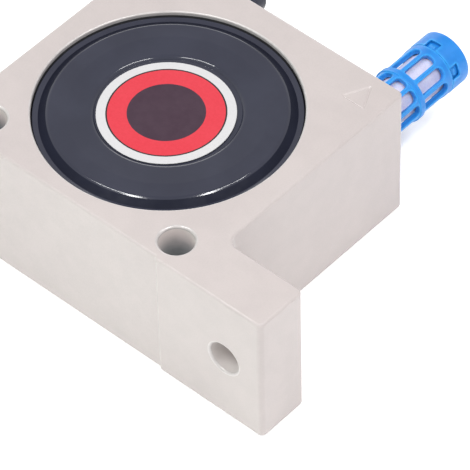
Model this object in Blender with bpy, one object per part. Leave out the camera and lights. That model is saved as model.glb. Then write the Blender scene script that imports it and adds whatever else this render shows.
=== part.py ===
"""Pneumatic ball vibrator: a flanged aluminium block, two snap-in covers, two raceways, a steel ball,
a push-in air inlet and a slotted exhaust silencer.

The block lies on its back. X runs along the mounting base, Y from the base up to the port face, and Z
along the chamber's axis from the rear face to the front face. Each piece is placed from the middle of the
base's rear edge, and the whole is then moved so that the origin is the middle of its footprint. All
lengths are in metres.
"""
import math

import bmesh
import bpy
from mathutils import Matrix, Vector

MM = 0.001

# Housing
BODY_WIDTH = 100 * MM
BODY_HEIGHT = 100 * MM
THICKNESS = 50 * MM
BASE_LENGTH = 160 * MM
FOOT_THICKNESS = 19 * MM
FOOT_FILLET = 4 * MM
CORNER_RADIUS = 2 * MM
EDGE_ROUNDING = 1 * MM
BASE_RELIEF_HALF = 38.75 * MM
BASE_RELIEF_DEPTH = 0.8 * MM
SIDE_HOLE_X = 38.5 * MM
SIDE_HOLE_Y = 9.5 * MM
FOOT_HOLE_X = 65 * MM
BOLT_HOLE_RADIUS = 5.5 * MM
HOLE_CHAMFER = 0.5 * MM
MID_Z = THICKNESS / 2

# Chamber, measured from its middle plane outwards
CHAMBER_Y = 48 * MM
RIB_RADIUS = 39 * MM
RIB_HALF = 4 * MM
RACE_BORE_RADIUS = 41 * MM
COVER_SEAT = 16 * MM
COVER_BORE_RADIUS = 41.9 * MM
SNAP_RADIUS = 42.5 * MM
SNAP_LOW = 16.6 * MM
SNAP_HIGH = 18.2 * MM
BORE_CHAMFER = 0.6 * MM
BIG_STEPS = 40
SMALL_STEPS = 24
CAGE_STEPS = 30

# Ball and raceways
BALL_RADIUS = 18 * MM
ORBIT_RADIUS = 20 * MM
GROOVE_RADIUS = 18.6 * MM
RACE_INNER_Z = 4.3 * MM
RACE_OUTER_Z = 15.8 * MM
RACE_RADIUS = 40.7 * MM

# Ports
PORT_X = 34 * MM
PORT_ROOT_RADIUS = 8.3 * MM
PORT_DEPTH = 14 * MM
PORT_MOUTH_RADIUS = 8.6 * MM
DUCT_RADIUS = 3.5 * MM
DUCT_END_Y = 64 * MM
THREAD_PITCH = 1.4 * MM
THREAD_DEPTH = 0.8 * MM
THREAD_TURNS = 6
FIT_GAP = 0.3 * MM

# Direction arrow engraved beside the exhaust port
ARROW_BASE = (40.7 * MM, 87 * MM)
ARROW_WIDTH = 8.2 * MM
ARROW_HEIGHT = 8.2 * MM
ARROW_LINE = 0.6 * MM
ARROW_DEPTH = 0.35 * MM

# Covers, measured from the middle plane outwards
COVER_RADIUS = 41.6 * MM
SKIRT_INNER_RADIUS = 37.5 * MM
SKIRT_END_Z = 16.3 * MM
COVER_INSIDE_Z = 18.7 * MM
SEAL_GROOVE_RADIUS = 39.2 * MM
SEAL_GROOVE_LOW = 19.2 * MM
SEAL_GROOVE_HIGH = 22 * MM
SNAP_BEAD_RADIUS = 42.2 * MM
RIM_HIGH_Z = 23.2 * MM
RIM_LOW_Z = 22.8 * MM
RIM_INNER_RADIUS = 39.75 * MM
SHOULDER_RADIUS = 36.6 * MM
SHOULDER_Z = 24.88 * MM
SHOULDER_ROUNDING = 0.35 * MM
CROWN_RADIUS = 31.2 * MM
CROWN_Z = 24.9 * MM
DISH_RADIUS = 23.45 * MM
DISH_Z = 24.35 * MM
LABEL_RECESS_RADIUS = 22.6 * MM
LABEL_FLOOR_Z = 23.4 * MM
LABEL_RADIUS = 21.5 * MM
LABEL_THICKNESS = 0.3 * MM
LABEL_SHIFT = 0.75 * MM

# Fittings, measured outwards from the port face
HEX_FLAT_RADIUS = 9.5 * MM
SEAL_OUTER_RADIUS = 9.3 * MM
SEAL_INNER_RADIUS = 7.6 * MM
SEAL_HEIGHT = 0.8 * MM
HEX_START = 1.4 * MM
STEM_END = -10.4 * MM

# Push-in inlet fitting, from the block outwards
INLET_HEX_END = 7 * MM
SPIGOT_RADIUS = 7.3 * MM
SPIGOT_END = 12 * MM
STEM_BORE_RADIUS = 4 * MM

# Fitting body and tube
SLEEVE_RADIUS = 8.7 * MM
SLEEVE_INNER_RADIUS = 7.6 * MM
SLEEVE_START = 7.3 * MM
SLEEVE_END = 22 * MM
SLEEVE_LIP = 1.2 * MM
MOUTH_RADIUS = 6.6 * MM
SLEEVE_ROUNDING = 1.3 * MM
TUBE_RADIUS = 5 * MM
TUBE_CLEAR_RADIUS = TUBE_RADIUS + 0.2 * MM

# Grab ring
GRAB_RING_LOW = 15.5 * MM
GRAB_RING_THICKNESS = 0.5 * MM
GRAB_TEETH = 8

# Collar guide
GUIDE_LOW = 16.4 * MM
GUIDE_HIGH = SLEEVE_END - SLEEVE_LIP - 0.3 * MM
GUIDE_STEP = 19.6 * MM

# Release collar
COLLAR_OUTER_RADIUS = 6.15 * MM
COLLAR_BARB_RADIUS = 6.6 * MM
COLLAR_NOSE = 17.9 * MM
COLLAR_FLANGE_RADIUS = 6.9 * MM
COLLAR_FLANGE_LOW = 23.8 * MM
COLLAR_END = 25 * MM

# Silencer
CAGE_RADIUS = 9.3 * MM
CAGE_INNER_RADIUS = 7.4 * MM
CAGE_RING_RADIUS = 9.65 * MM
SILENCER_HEX_END = 5.2 * MM
SILENCER_BORE_RADIUS = 5.2 * MM
ELEMENT_SEAT = 5.6 * MM
CAGE_RING_LOW = 15.9 * MM
CAGE_RING_HIGH = 18.7 * MM
CAGE_SHOULDER = 32 * MM
CAGE_NECK_RADIUS = 8.4 * MM
CAGE_END = 36.6 * MM
WINDOW_ROWS = ((6.8 * MM, 15.9 * MM), (18.8 * MM, 29.4 * MM))
WINDOW_COUNT = 10
WINDOW_WIDTH = 4.1 * MM
WINDOW_CORNER = 1.3 * MM
WINDOW_PHASE = -75.5
CAP_RADIUS = 9.4 * MM
CAP_INNER_RADIUS = 8.7 * MM
CAP_START = 32.3 * MM
CAP_INSIDE = 38.4 * MM
CAP_END = 40 * MM
NOTCH_COUNT = 5
NOTCH_WIDTH = 4.4 * MM
NOTCH_DEPTH = 3 * MM
NOTCH_PHASE = -93.5
ELEMENT_RADIUS = 6.9 * MM
ELEMENT_INNER_RADIUS = 5.3 * MM

# Colours
COLOUR_PAINT = (0.74, 0.71, 0.68)
COLOUR_BLACK = (0.03, 0.033, 0.04)
COLOUR_STEEL = (0.62, 0.62, 0.64)
COLOUR_RUBBER = (0.02, 0.02, 0.02)
COLOUR_BLUE = (0.03, 0.27, 0.82)
COLOUR_WHITE = (0.85, 0.87, 0.9)
COLOUR_BRASS = (0.66, 0.64, 0.6)


def clear_scene():
    for old in list(bpy.data.objects):
        bpy.data.objects.remove(old, do_unlink=True)


def make_material(name, colour, roughness, metallic):
    material = bpy.data.materials.new(name)
    material.use_nodes = True
    shader = material.node_tree.nodes["Principled BSDF"]
    shader.inputs["Base Color"].default_value = (*colour, 1.0)
    shader.inputs["Roughness"].default_value = roughness
    shader.inputs["Metallic"].default_value = metallic
    return material


def finish_mesh(name, bm, material, sharp_angle=30):
    """Turn a bmesh into a named object with outward faces."""
    bmesh.ops.recalc_face_normals(bm, faces=bm.faces)
    mesh = bpy.data.meshes.new(name)
    bm.to_mesh(mesh)
    bm.free()
    mesh.shade_smooth()
    mesh.set_sharp_from_angle(angle=math.radians(sharp_angle))
    mesh.materials.append(material)
    obj = bpy.data.objects.new(name, mesh)
    bpy.context.collection.objects.link(obj)
    return obj


def turned(name, profile, steps, material):
    """Spin a closed (radius, height) outline round Z. Radius 0 marks a point on the axis."""
    bm = bmesh.new()
    ring = [bm.verts.new((radius, 0, height)) for radius, height in profile]
    for first, second in zip(ring, ring[1:] + ring[:1]):
        on_axis = first.co.x == 0 and second.co.x == 0
        if not on_axis:
            bm.edges.new((first, second))
    bmesh.ops.spin(bm, geom=bm.verts[:] + bm.edges[:], cent=(0, 0, 0), axis=(0, 0, 1),
                   angle=math.tau, steps=steps, use_merge=True)
    bmesh.ops.remove_doubles(bm, verts=bm.verts, dist=0.001 * MM)
    return finish_mesh(name, bm, material)


def extruded(name, outline, low, high, material):
    """Extrude a closed (x, y) outline along Z from low to high."""
    bm = bmesh.new()
    base = bm.faces.new([bm.verts.new((x, y, low)) for x, y in outline])
    extrusion = bmesh.ops.extrude_face_region(bm, geom=[base])
    moved = [item for item in extrusion["geom"] if isinstance(item, bmesh.types.BMVert)]
    bmesh.ops.translate(bm, verts=moved, vec=(0, 0, high - low))
    return finish_mesh(name, bm, material)


def arc(centre, radius, start, end, steps):
    """Points of an arc, in degrees, both ends included."""
    points = []
    for step in range(steps + 1):
        angle = math.radians(start + (end - start) * step / steps)
        points.append((centre[0] + radius * math.cos(angle), centre[1] + radius * math.sin(angle)))
    return points


def hide_cutter(cutter):
    cutter.hide_render = True
    cutter.display_type = "WIRE"


def cut(target, cutter):
    hide_cutter(cutter)
    modifier = target.modifiers.new(f"cut_{cutter.name}", "BOOLEAN")
    modifier.operation = "DIFFERENCE"
    modifier.solver = "EXACT"
    modifier.object = cutter


def face_along_y(obj, x, y=BODY_HEIGHT):
    """Stand a turned piece in the port at x: its own +Z becomes +Y."""
    obj.matrix_world = Matrix.Translation((x, y, MID_Z)) @ Matrix.Rotation(-math.pi / 2, 4, "X")


def flip_to_rear(obj):
    """Mirror a piece to the other side of the middle plane by half a turn about Y."""
    obj.matrix_world = Matrix.Translation((0, CHAMBER_Y, MID_Z)) @ Matrix.Rotation(math.pi, 4, "Y")


def place_at_chamber(obj):
    obj.location = (0, CHAMBER_Y, MID_Z)


def thread_profile(crest, root, top, turns):
    """Ridges down from top: a screw thread drawn as parallel rings, (radius, height) pairs."""
    points = []
    for turn in range(turns):
        height = top - turn * THREAD_PITCH
        points.append((root, height))
        points.append((crest, height - THREAD_PITCH / 2))
    points.append((root, top - turns * THREAD_PITCH))
    return points


def housing_outline():
    """Half outline from the base up to the port face, then its mirror image."""
    half_base = BASE_LENGTH / 2
    half_body = BODY_WIDTH / 2
    r = CORNER_RADIUS
    right = []
    right += arc((half_base - r, r), r, -90, 0, 4)
    right += arc((half_base - r, FOOT_THICKNESS - r), r, 0, 90, 4)
    right += arc((half_body + FOOT_FILLET, FOOT_THICKNESS + FOOT_FILLET), FOOT_FILLET, 270, 180, 6)
    right += arc((half_body - r, BODY_HEIGHT - r), r, 0, 90, 4)
    left = [(-x, y) for x, y in reversed(right)]
    return right + left


def round_face_edges(obj):
    """Round every edge of the front and rear faces."""
    bm = bmesh.new()
    bm.from_mesh(obj.data)
    rims = [edge for edge in bm.edges if abs(edge.verts[0].co.z - edge.verts[1].co.z) < 0.01 * MM]
    bmesh.ops.bevel(bm, geom=rims, offset=EDGE_ROUNDING, segments=2, profile=0.5, affect="EDGES")
    bm.to_mesh(obj.data)
    bm.free()
    obj.data.shade_smooth()
    obj.data.set_sharp_from_angle(angle=math.radians(30))


def chamber_cutter(material):
    """The chamber on both sides of its middle rib, right through the block."""
    beyond = MID_Z + 2 * MM
    side = [
        (RIB_RADIUS, RIB_HALF),
        (RACE_BORE_RADIUS, RIB_HALF),
        (RACE_BORE_RADIUS, COVER_SEAT),
        (COVER_BORE_RADIUS, COVER_SEAT),
        (COVER_BORE_RADIUS, SNAP_LOW),
        (SNAP_RADIUS, SNAP_LOW),
        (SNAP_RADIUS, SNAP_HIGH),
        (COVER_BORE_RADIUS, SNAP_HIGH),
        (COVER_BORE_RADIUS, MID_Z - BORE_CHAMFER),
        (COVER_BORE_RADIUS + BORE_CHAMFER, MID_Z),
        (COVER_BORE_RADIUS + BORE_CHAMFER, beyond),
    ]
    front = [(0, beyond)] + list(reversed(side))
    rear = [(radius, -height) for radius, height in side] + [(0, -beyond)]
    cutter = turned("cutter_chamber", front + rear, BIG_STEPS, material)
    place_at_chamber(cutter)
    return cutter


def bolt_hole_cutter(name, length, material):
    """A through hole along Z, from 0 to length, with a small chamfer at both mouths."""
    beyond = 3 * MM
    wide = BOLT_HOLE_RADIUS + HOLE_CHAMFER
    profile = [
        (0, length + beyond),
        (wide, length + beyond),
        (wide, length),
        (BOLT_HOLE_RADIUS, length - HOLE_CHAMFER),
        (BOLT_HOLE_RADIUS, HOLE_CHAMFER),
        (wide, 0),
        (wide, -beyond),
        (0, -beyond),
    ]
    return turned(name, profile, SMALL_STEPS, material)


def port_cutter(name, material):
    """Threaded port, drill cone, and the duct that meets the chamber between the raceways."""
    crest = PORT_ROOT_RADIUS - THREAD_DEPTH
    thread_top = -1 * MM
    thread = thread_profile(crest, PORT_ROOT_RADIUS, thread_top, THREAD_TURNS)
    profile = [(0, 3 * MM), (PORT_MOUTH_RADIUS, 3 * MM), (PORT_MOUTH_RADIUS, 0)]
    profile += thread
    profile += [(PORT_ROOT_RADIUS, -PORT_DEPTH)]
    profile += [(DUCT_RADIUS, -PORT_DEPTH - 2 * MM)]
    profile += [(DUCT_RADIUS, DUCT_END_Y - BODY_HEIGHT), (0, DUCT_END_Y - BODY_HEIGHT - 2 * MM)]
    return turned(name, profile, SMALL_STEPS, material)


def arrow_cutter(material):
    """An outlined triangle that points to the exhaust port, engraved in the front face."""
    side = math.hypot(ARROW_WIDTH / 2, ARROW_HEIGHT)
    inner_circle = ARROW_WIDTH * ARROW_HEIGHT / (ARROW_WIDTH + 2 * side)

    def triangle(line_offset):
        """The triangle with its sides moved outwards by line_offset, seen from its inner circle's centre."""
        scale = 1 + line_offset / inner_circle
        corners = ((-ARROW_WIDTH / 2, 0), (ARROW_WIDTH / 2, 0), (0, ARROW_HEIGHT))
        return [(x * scale, (y - inner_circle) * scale) for x, y in corners]

    outlines = (triangle(ARROW_LINE / 2), triangle(-ARROW_LINE / 2))
    bm = bmesh.new()
    rings = []
    for height in (-ARROW_DEPTH, 2 * MM):
        rings.append([[bm.verts.new((x, y, height)) for x, y in outline] for outline in outlines])
    (low_outer, low_inner), (high_outer, high_inner) = rings
    for corner in range(3):
        following = (corner + 1) % 3
        for first, second in ((low_outer, low_inner), (high_outer, high_inner),
                              (low_outer, high_outer), (low_inner, high_inner)):
            bm.faces.new((first[corner], first[following], second[following], second[corner]))
    cutter = finish_mesh("cutter_arrow", bm, material)
    cutter.location = (ARROW_BASE[0], ARROW_BASE[1] + inner_circle, THICKNESS)
    return cutter


def base_relief_cutter(material):
    """Shallow relief between the two foot pads, with sloping ends."""
    slope = BASE_RELIEF_DEPTH
    beyond = 4 * MM
    half = BASE_RELIEF_HALF
    outline = [
        (-half - beyond, -beyond),
        (half + beyond, -beyond),
        (half, 0),
        (half - slope, BASE_RELIEF_DEPTH),
        (-half + slope, BASE_RELIEF_DEPTH),
        (-half, 0),
    ]
    return extruded("cutter_base_relief", outline, -beyond, THICKNESS + beyond, material)


def make_housing(material):
    housing = extruded("housing", housing_outline(), 0, THICKNESS, material)
    round_face_edges(housing)
    cut(housing, base_relief_cutter(material))
    cut(housing, chamber_cutter(material))
    for side, name in ((1, "right"), (-1, "left")):
        side_hole = bolt_hole_cutter(f"cutter_side_hole_{name}", THICKNESS, material)
        side_hole.location = (side * SIDE_HOLE_X, SIDE_HOLE_Y, 0)
        cut(housing, side_hole)
        foot_hole = bolt_hole_cutter(f"cutter_foot_hole_{name}", FOOT_THICKNESS, material)
        face_along_y(foot_hole, side * FOOT_HOLE_X, 0)
        cut(housing, foot_hole)
        port = port_cutter(f"cutter_port_{name}", material)
        face_along_y(port, side * PORT_X)
        cut(housing, port)
    cut(housing, arrow_cutter(material))
    return housing


def cover_profile():
    """Half section of a cover: crowned face, sunk rim, seal groove, snap bead, skirt and inside."""
    outer_face = [
        (0, LABEL_FLOOR_Z),
        (LABEL_RECESS_RADIUS, LABEL_FLOOR_Z),
        (DISH_RADIUS, DISH_Z),
        (CROWN_RADIUS, CROWN_Z),
        (SHOULDER_RADIUS - SHOULDER_ROUNDING, SHOULDER_Z),
        (SHOULDER_RADIUS + SHOULDER_ROUNDING, SHOULDER_Z - 0.6 * SHOULDER_ROUNDING),
        (RIM_INNER_RADIUS, RIM_LOW_Z),
        (COVER_RADIUS - 0.3 * MM, RIM_HIGH_Z),
        (COVER_RADIUS, RIM_HIGH_Z - 0.3 * MM),
    ]
    rim = [
        (COVER_RADIUS, SEAL_GROOVE_HIGH),
        (SEAL_GROOVE_RADIUS, SEAL_GROOVE_HIGH),
        (SEAL_GROOVE_RADIUS, SEAL_GROOVE_LOW),
        (COVER_RADIUS, SEAL_GROOVE_LOW),
        (COVER_RADIUS, SNAP_HIGH - FIT_GAP),
        (SNAP_BEAD_RADIUS, SNAP_LOW + 2 * FIT_GAP),
        (SNAP_BEAD_RADIUS, SNAP_LOW + FIT_GAP),
        (COVER_RADIUS - 0.4 * MM, SKIRT_END_Z),
    ]
    inside = [(SKIRT_INNER_RADIUS, SKIRT_END_Z), (SKIRT_INNER_RADIUS, COVER_INSIDE_Z), (0, COVER_INSIDE_Z)]
    return outer_face + rim + inside


def make_covers(material):
    front = turned("front_cover", cover_profile(), BIG_STEPS, material)
    place_at_chamber(front)
    rear = turned("rear_cover", cover_profile(), BIG_STEPS, material)
    flip_to_rear(rear)


def make_cover_seals(material):
    """O-rings that lie in the covers' grooves."""
    middle = (SEAL_GROOVE_LOW + SEAL_GROOVE_HIGH) / 2
    section_radius = 1.1 * MM
    centre = (SEAL_GROOVE_RADIUS + section_radius + 0.2 * MM, middle)
    section = arc(centre, section_radius, 0, 360, 6)[:-1]
    front = turned("front_cover_seal", section, BIG_STEPS, material)
    place_at_chamber(front)
    rear = turned("rear_cover_seal", section, BIG_STEPS, material)
    flip_to_rear(rear)


def raceway_profile():
    """A ring whose inner side is an arc a little wider than the ball."""
    low = math.degrees(math.asin(RACE_INNER_Z / GROOVE_RADIUS))
    high = math.degrees(math.asin((RACE_OUTER_Z - 0.4 * MM) / GROOVE_RADIUS))
    groove = arc((ORBIT_RADIUS, 0), GROOVE_RADIUS, low, high, 4)
    lip_radius = groove[-1][0]
    chamfer = 0.5 * MM
    return groove + [
        (lip_radius + 0.4 * MM, RACE_OUTER_Z),
        (RACE_RADIUS - chamfer, RACE_OUTER_Z),
        (RACE_RADIUS, RACE_OUTER_Z - chamfer),
        (RACE_RADIUS, RACE_INNER_Z),
    ]


def make_raceways(material):
    front = turned("front_raceway", raceway_profile(), BIG_STEPS, material)
    place_at_chamber(front)
    rear = turned("rear_raceway", raceway_profile(), BIG_STEPS, material)
    flip_to_rear(rear)


def make_ball(material):
    """The ball hangs from an empty on the chamber's axis, which it circles."""
    pivot = bpy.data.objects.new("ball_orbit_axis", None)
    bpy.context.collection.objects.link(pivot)
    place_at_chamber(pivot)
    bm = bmesh.new()
    bmesh.ops.create_uvsphere(bm, u_segments=28, v_segments=14, radius=BALL_RADIUS)
    bmesh.ops.translate(bm, verts=bm.verts, vec=(0, -ORBIT_RADIUS, 0))
    ball = finish_mesh("ball", bm, material, sharp_angle=60)
    ball.parent = pivot


def make_label(material):
    """A thin round label in the front cover's shallow recess, stuck a little below its middle."""
    low = LABEL_FLOOR_Z + FIT_GAP
    high = low + LABEL_THICKNESS
    profile = [(0, high), (LABEL_RADIUS, high), (LABEL_RADIUS, low), (0, low)]
    front = turned("front_label", profile, BIG_STEPS, material)
    place_at_chamber(front)
    front.location.y -= LABEL_SHIFT


def stem_thread():
    """Male thread that fits the port with a gap all round, top to bottom."""
    root = PORT_ROOT_RADIUS - THREAD_DEPTH - FIT_GAP
    crest = PORT_ROOT_RADIUS - FIT_GAP
    top = -1 * MM - THREAD_PITCH / 2
    return thread_profile(crest, root, top, THREAD_TURNS - 1)


def hexagon(name, low, high, material):
    """Hexagonal nut with its corners chamfered at both ends, as a turned blank trimmed by six flats."""
    corner_radius = HEX_FLAT_RADIUS / math.cos(math.radians(30))
    outline = arc((0, 0), corner_radius, 0, 300, 5)
    nut = extruded(name, outline, low, high, material)
    blank = turned(f"trim_{name}", [
        (0, high + 1 * MM),
        (HEX_FLAT_RADIUS - 0.4 * MM, high + 1 * MM),
        (HEX_FLAT_RADIUS - 0.1 * MM, high + 0.001 * MM),
        (corner_radius + 0.2 * MM, high - 0.7 * MM),
        (corner_radius + 0.2 * MM, low + 0.7 * MM),
        (HEX_FLAT_RADIUS - 0.1 * MM, low - 0.001 * MM),
        (HEX_FLAT_RADIUS - 0.4 * MM, low - 1 * MM),
        (0, low - 1 * MM),
    ], SMALL_STEPS, material)
    trim = nut.modifiers.new("trim_corners", "BOOLEAN")
    trim.operation = "INTERSECT"
    trim.solver = "EXACT"
    trim.object = blank
    hide_cutter(blank)
    return nut, blank


def unite(target, other):
    hide_cutter(other)
    modifier = target.modifiers.new(f"unite_{other.name}", "BOOLEAN")
    modifier.operation = "UNION"
    modifier.solver = "EXACT"
    modifier.object = other


def make_inlet_stem(material):
    """Threaded stem, hexagon, and the spigot that the fitting's body is pressed on."""
    bore = STEM_BORE_RADIUS
    neck = PORT_ROOT_RADIUS - THREAD_DEPTH - FIT_GAP
    profile = [
        (bore, SPIGOT_END),
        (SPIGOT_RADIUS - 0.3 * MM, SPIGOT_END),
        (SPIGOT_RADIUS, SPIGOT_END - 0.3 * MM),
        (SPIGOT_RADIUS, INLET_HEX_END - 1 * MM),
        (neck, INLET_HEX_END - 1 * MM),
    ] + stem_thread() + [(neck - 0.4 * MM, STEM_END), (bore, STEM_END)]
    stem = turned("inlet_stem", profile, SMALL_STEPS, material)
    nut, blank = hexagon("hexagon_inlet", HEX_START, INLET_HEX_END, material)
    beyond = 20 * MM
    bore_profile = [(0, beyond), (bore, beyond), (bore, -beyond), (0, -beyond)]
    bore_cutter = turned("cutter_inlet_bore", bore_profile, SMALL_STEPS, material)
    unite(stem, nut)
    cut(stem, bore_cutter)
    for piece in (stem, nut, blank, bore_cutter):
        face_along_y(piece, -PORT_X)


def make_sealing_ring(name, x, material):
    """Flat sealing ring between the port face and a hexagon."""
    low = FIT_GAP
    high = FIT_GAP + SEAL_HEIGHT
    ring = turned(name, [
        (SEAL_INNER_RADIUS, high),
        (SEAL_OUTER_RADIUS - 0.2 * MM, high),
        (SEAL_OUTER_RADIUS, high - 0.2 * MM),
        (SEAL_OUTER_RADIUS, low + 0.2 * MM),
        (SEAL_OUTER_RADIUS - 0.2 * MM, low),
        (SEAL_INNER_RADIUS, low),
    ], SMALL_STEPS, material)
    face_along_y(ring, x)


def make_inlet_sleeve(material):
    """Outer body of the push-in fitting, open at both ends, with a lip at the mouth."""
    corner = arc((SLEEVE_RADIUS - SLEEVE_ROUNDING, SLEEVE_END - SLEEVE_ROUNDING), SLEEVE_ROUNDING, 90, 0, 4)
    profile = [(MOUTH_RADIUS, SLEEVE_END)] + corner + [
        (SLEEVE_RADIUS, SLEEVE_START + 0.4 * MM),
        (SLEEVE_RADIUS - 0.4 * MM, SLEEVE_START),
        (SLEEVE_INNER_RADIUS, SLEEVE_START),
        (SLEEVE_INNER_RADIUS, SLEEVE_END - SLEEVE_LIP),
        (MOUTH_RADIUS, SLEEVE_END - SLEEVE_LIP),
    ]
    face_along_y(turned("inlet_sleeve", profile, SMALL_STEPS, material), -PORT_X)


def make_tube_seal(material):
    """Lip seal round the tube: a ring with a V groove in its pressure side."""
    low = SPIGOT_END + 0.4 * MM
    high = low + 2.6 * MM
    profile = [
        (TUBE_CLEAR_RADIUS, high),
        (SPIGOT_RADIUS, high),
        (SPIGOT_RADIUS, low),
        (SPIGOT_RADIUS - 0.6 * MM, low),
        ((SPIGOT_RADIUS + TUBE_CLEAR_RADIUS) / 2, low + 1.2 * MM),
        (TUBE_CLEAR_RADIUS + 0.6 * MM, low),
        (TUBE_CLEAR_RADIUS, low),
    ]
    face_along_y(turned("tube_seal", profile, SMALL_STEPS, material), -PORT_X)


def make_grab_ring(material):
    """Thin toothed ring that bites the tube: radial slots part its inner edge into teeth."""
    low = GRAB_RING_LOW
    high = low + GRAB_RING_THICKNESS
    ring = turned("grab_ring", [
        (TUBE_CLEAR_RADIUS, high),
        (SPIGOT_RADIUS, high),
        (SPIGOT_RADIUS, low),
        (TUBE_CLEAR_RADIUS, low),
    ], SMALL_STEPS, material)
    slot_end = SPIGOT_RADIUS - 0.8 * MM
    slot_half = 0.35 * MM
    slots = bmesh.new()
    for tooth in range(GRAB_TEETH):
        turn = Matrix.Rotation(math.tau * (tooth + 0.5) / GRAB_TEETH, 4, "Z")
        size = Matrix.Diagonal((slot_end - 4 * MM, 2 * slot_half, 2 * MM, 1))
        place = Matrix.Translation(((slot_end + 4 * MM) / 2, 0, (low + high) / 2))
        bmesh.ops.create_cube(slots, size=1, matrix=turn @ place @ size)
    cutter = finish_mesh("cutter_grab_slots", slots, material)
    cut(ring, cutter)
    for piece in (ring, cutter):
        face_along_y(piece, -PORT_X)


def make_collar_guide(material):
    """Thin bush that holds the grab ring down and keeps the release collar from coming out."""
    wide = SPIGOT_RADIUS - 0.4 * MM
    narrow = SPIGOT_RADIUS - 0.8 * MM
    profile = [
        (narrow, GUIDE_HIGH),
        (SPIGOT_RADIUS, GUIDE_HIGH),
        (SPIGOT_RADIUS, GUIDE_LOW),
        (wide, GUIDE_LOW),
        (wide, GUIDE_STEP),
        (narrow, GUIDE_STEP),
    ]
    face_along_y(turned("collar_guide", profile, SMALL_STEPS, material), -PORT_X)


def make_release_collar(material):
    """Sliding collar: pressed towards the block, it opens the grab ring. Its origin is on its axis."""
    barb_low = COLLAR_NOSE + 0.4 * MM
    barb_high = GUIDE_STEP - 0.3 * MM
    profile = [
        (TUBE_CLEAR_RADIUS + 0.5 * MM, COLLAR_END),
        (COLLAR_FLANGE_RADIUS - 0.4 * MM, COLLAR_END),
        (COLLAR_FLANGE_RADIUS, COLLAR_END - 0.4 * MM),
        (COLLAR_FLANGE_RADIUS, COLLAR_FLANGE_LOW),
        (COLLAR_OUTER_RADIUS, COLLAR_FLANGE_LOW),
        (COLLAR_OUTER_RADIUS, barb_high),
        (COLLAR_BARB_RADIUS, barb_high),
        (COLLAR_OUTER_RADIUS, barb_low),
        (COLLAR_OUTER_RADIUS - 0.3 * MM, COLLAR_NOSE),
        (TUBE_CLEAR_RADIUS, COLLAR_NOSE),
        (TUBE_CLEAR_RADIUS, COLLAR_END - 0.5 * MM),
    ]
    face_along_y(turned("release_collar", profile, SMALL_STEPS, material), -PORT_X)


def window_outline(low, high):
    """A window with square corners towards the block and round ones away from it."""
    half = WINDOW_WIDTH / 2
    r = WINDOW_CORNER
    outline = [(-half, low), (half, low)]
    outline += arc((half - r, high - r), r, 0, 90, 2)
    outline += arc((-half + r, high - r), r, 90, 180, 2)
    return outline


def radial_cutters(name, outlines, count, phase, near, far, material):
    """Prisms that run outwards from the axis, evenly spaced round it. Outlines are (sideways, height)."""
    bm = bmesh.new()
    for step in range(count):
        turn = Matrix.Rotation(math.radians(phase + 360 * step / count), 4, "Z")
        for outline in outlines:
            sides = []
            for reach in (near, far):
                corners = [Vector((reach, sideways, height)) for sideways, height in outline]
                sides.append([bm.verts.new(turn @ corner) for corner in corners])
            bm.faces.new(sides[0])
            bm.faces.new(sides[1])
            for index, corner in enumerate(sides[0]):
                following = (index + 1) % len(outline)
                bm.faces.new((corner, sides[0][following], sides[1][following], sides[1][index]))
    return finish_mesh(name, bm, material)


def make_silencer_body(material):
    """Threaded stem, hexagon and slotted cage in one moulding."""
    neck = PORT_ROOT_RADIUS - THREAD_DEPTH - FIT_GAP
    profile = [
        (CAGE_INNER_RADIUS, CAGE_END),
        (CAGE_NECK_RADIUS, CAGE_END),
        (CAGE_NECK_RADIUS, CAGE_SHOULDER),
        (CAGE_RADIUS, CAGE_SHOULDER),
        (CAGE_RADIUS, CAGE_RING_HIGH),
        (CAGE_RING_RADIUS, CAGE_RING_HIGH - 0.3 * MM),
        (CAGE_RING_RADIUS, CAGE_RING_LOW + 0.3 * MM),
        (CAGE_RADIUS, CAGE_RING_LOW),
        (CAGE_RADIUS, SILENCER_HEX_END - 1 * MM),
        (neck, SILENCER_HEX_END - 1 * MM),
    ] + stem_thread() + [
        (neck - 0.4 * MM, STEM_END),
        (SILENCER_BORE_RADIUS, STEM_END),
        (SILENCER_BORE_RADIUS, ELEMENT_SEAT - 0.3 * MM),
        (CAGE_INNER_RADIUS, ELEMENT_SEAT - 0.3 * MM),
    ]
    body = turned("silencer_body", profile, CAGE_STEPS, material)
    nut, blank = hexagon("hexagon_silencer", HEX_START, SILENCER_HEX_END, material)
    bore = turned("cutter_silencer_bore", [
        (0, ELEMENT_SEAT - 0.3 * MM),
        (SILENCER_BORE_RADIUS, ELEMENT_SEAT - 0.3 * MM),
        (SILENCER_BORE_RADIUS, -20 * MM),
        (0, -20 * MM),
    ], CAGE_STEPS, material)
    outlines = [window_outline(low, high) for low, high in WINDOW_ROWS]
    windows = radial_cutters("cutter_windows", outlines, WINDOW_COUNT, WINDOW_PHASE,
                             CAGE_INNER_RADIUS - 0.9 * MM, CAGE_RING_RADIUS + 1 * MM, material)
    unite(body, nut)
    cut(body, bore)
    cut(body, windows)
    for piece in (body, nut, blank, bore, windows):
        face_along_y(piece, PORT_X)


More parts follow.
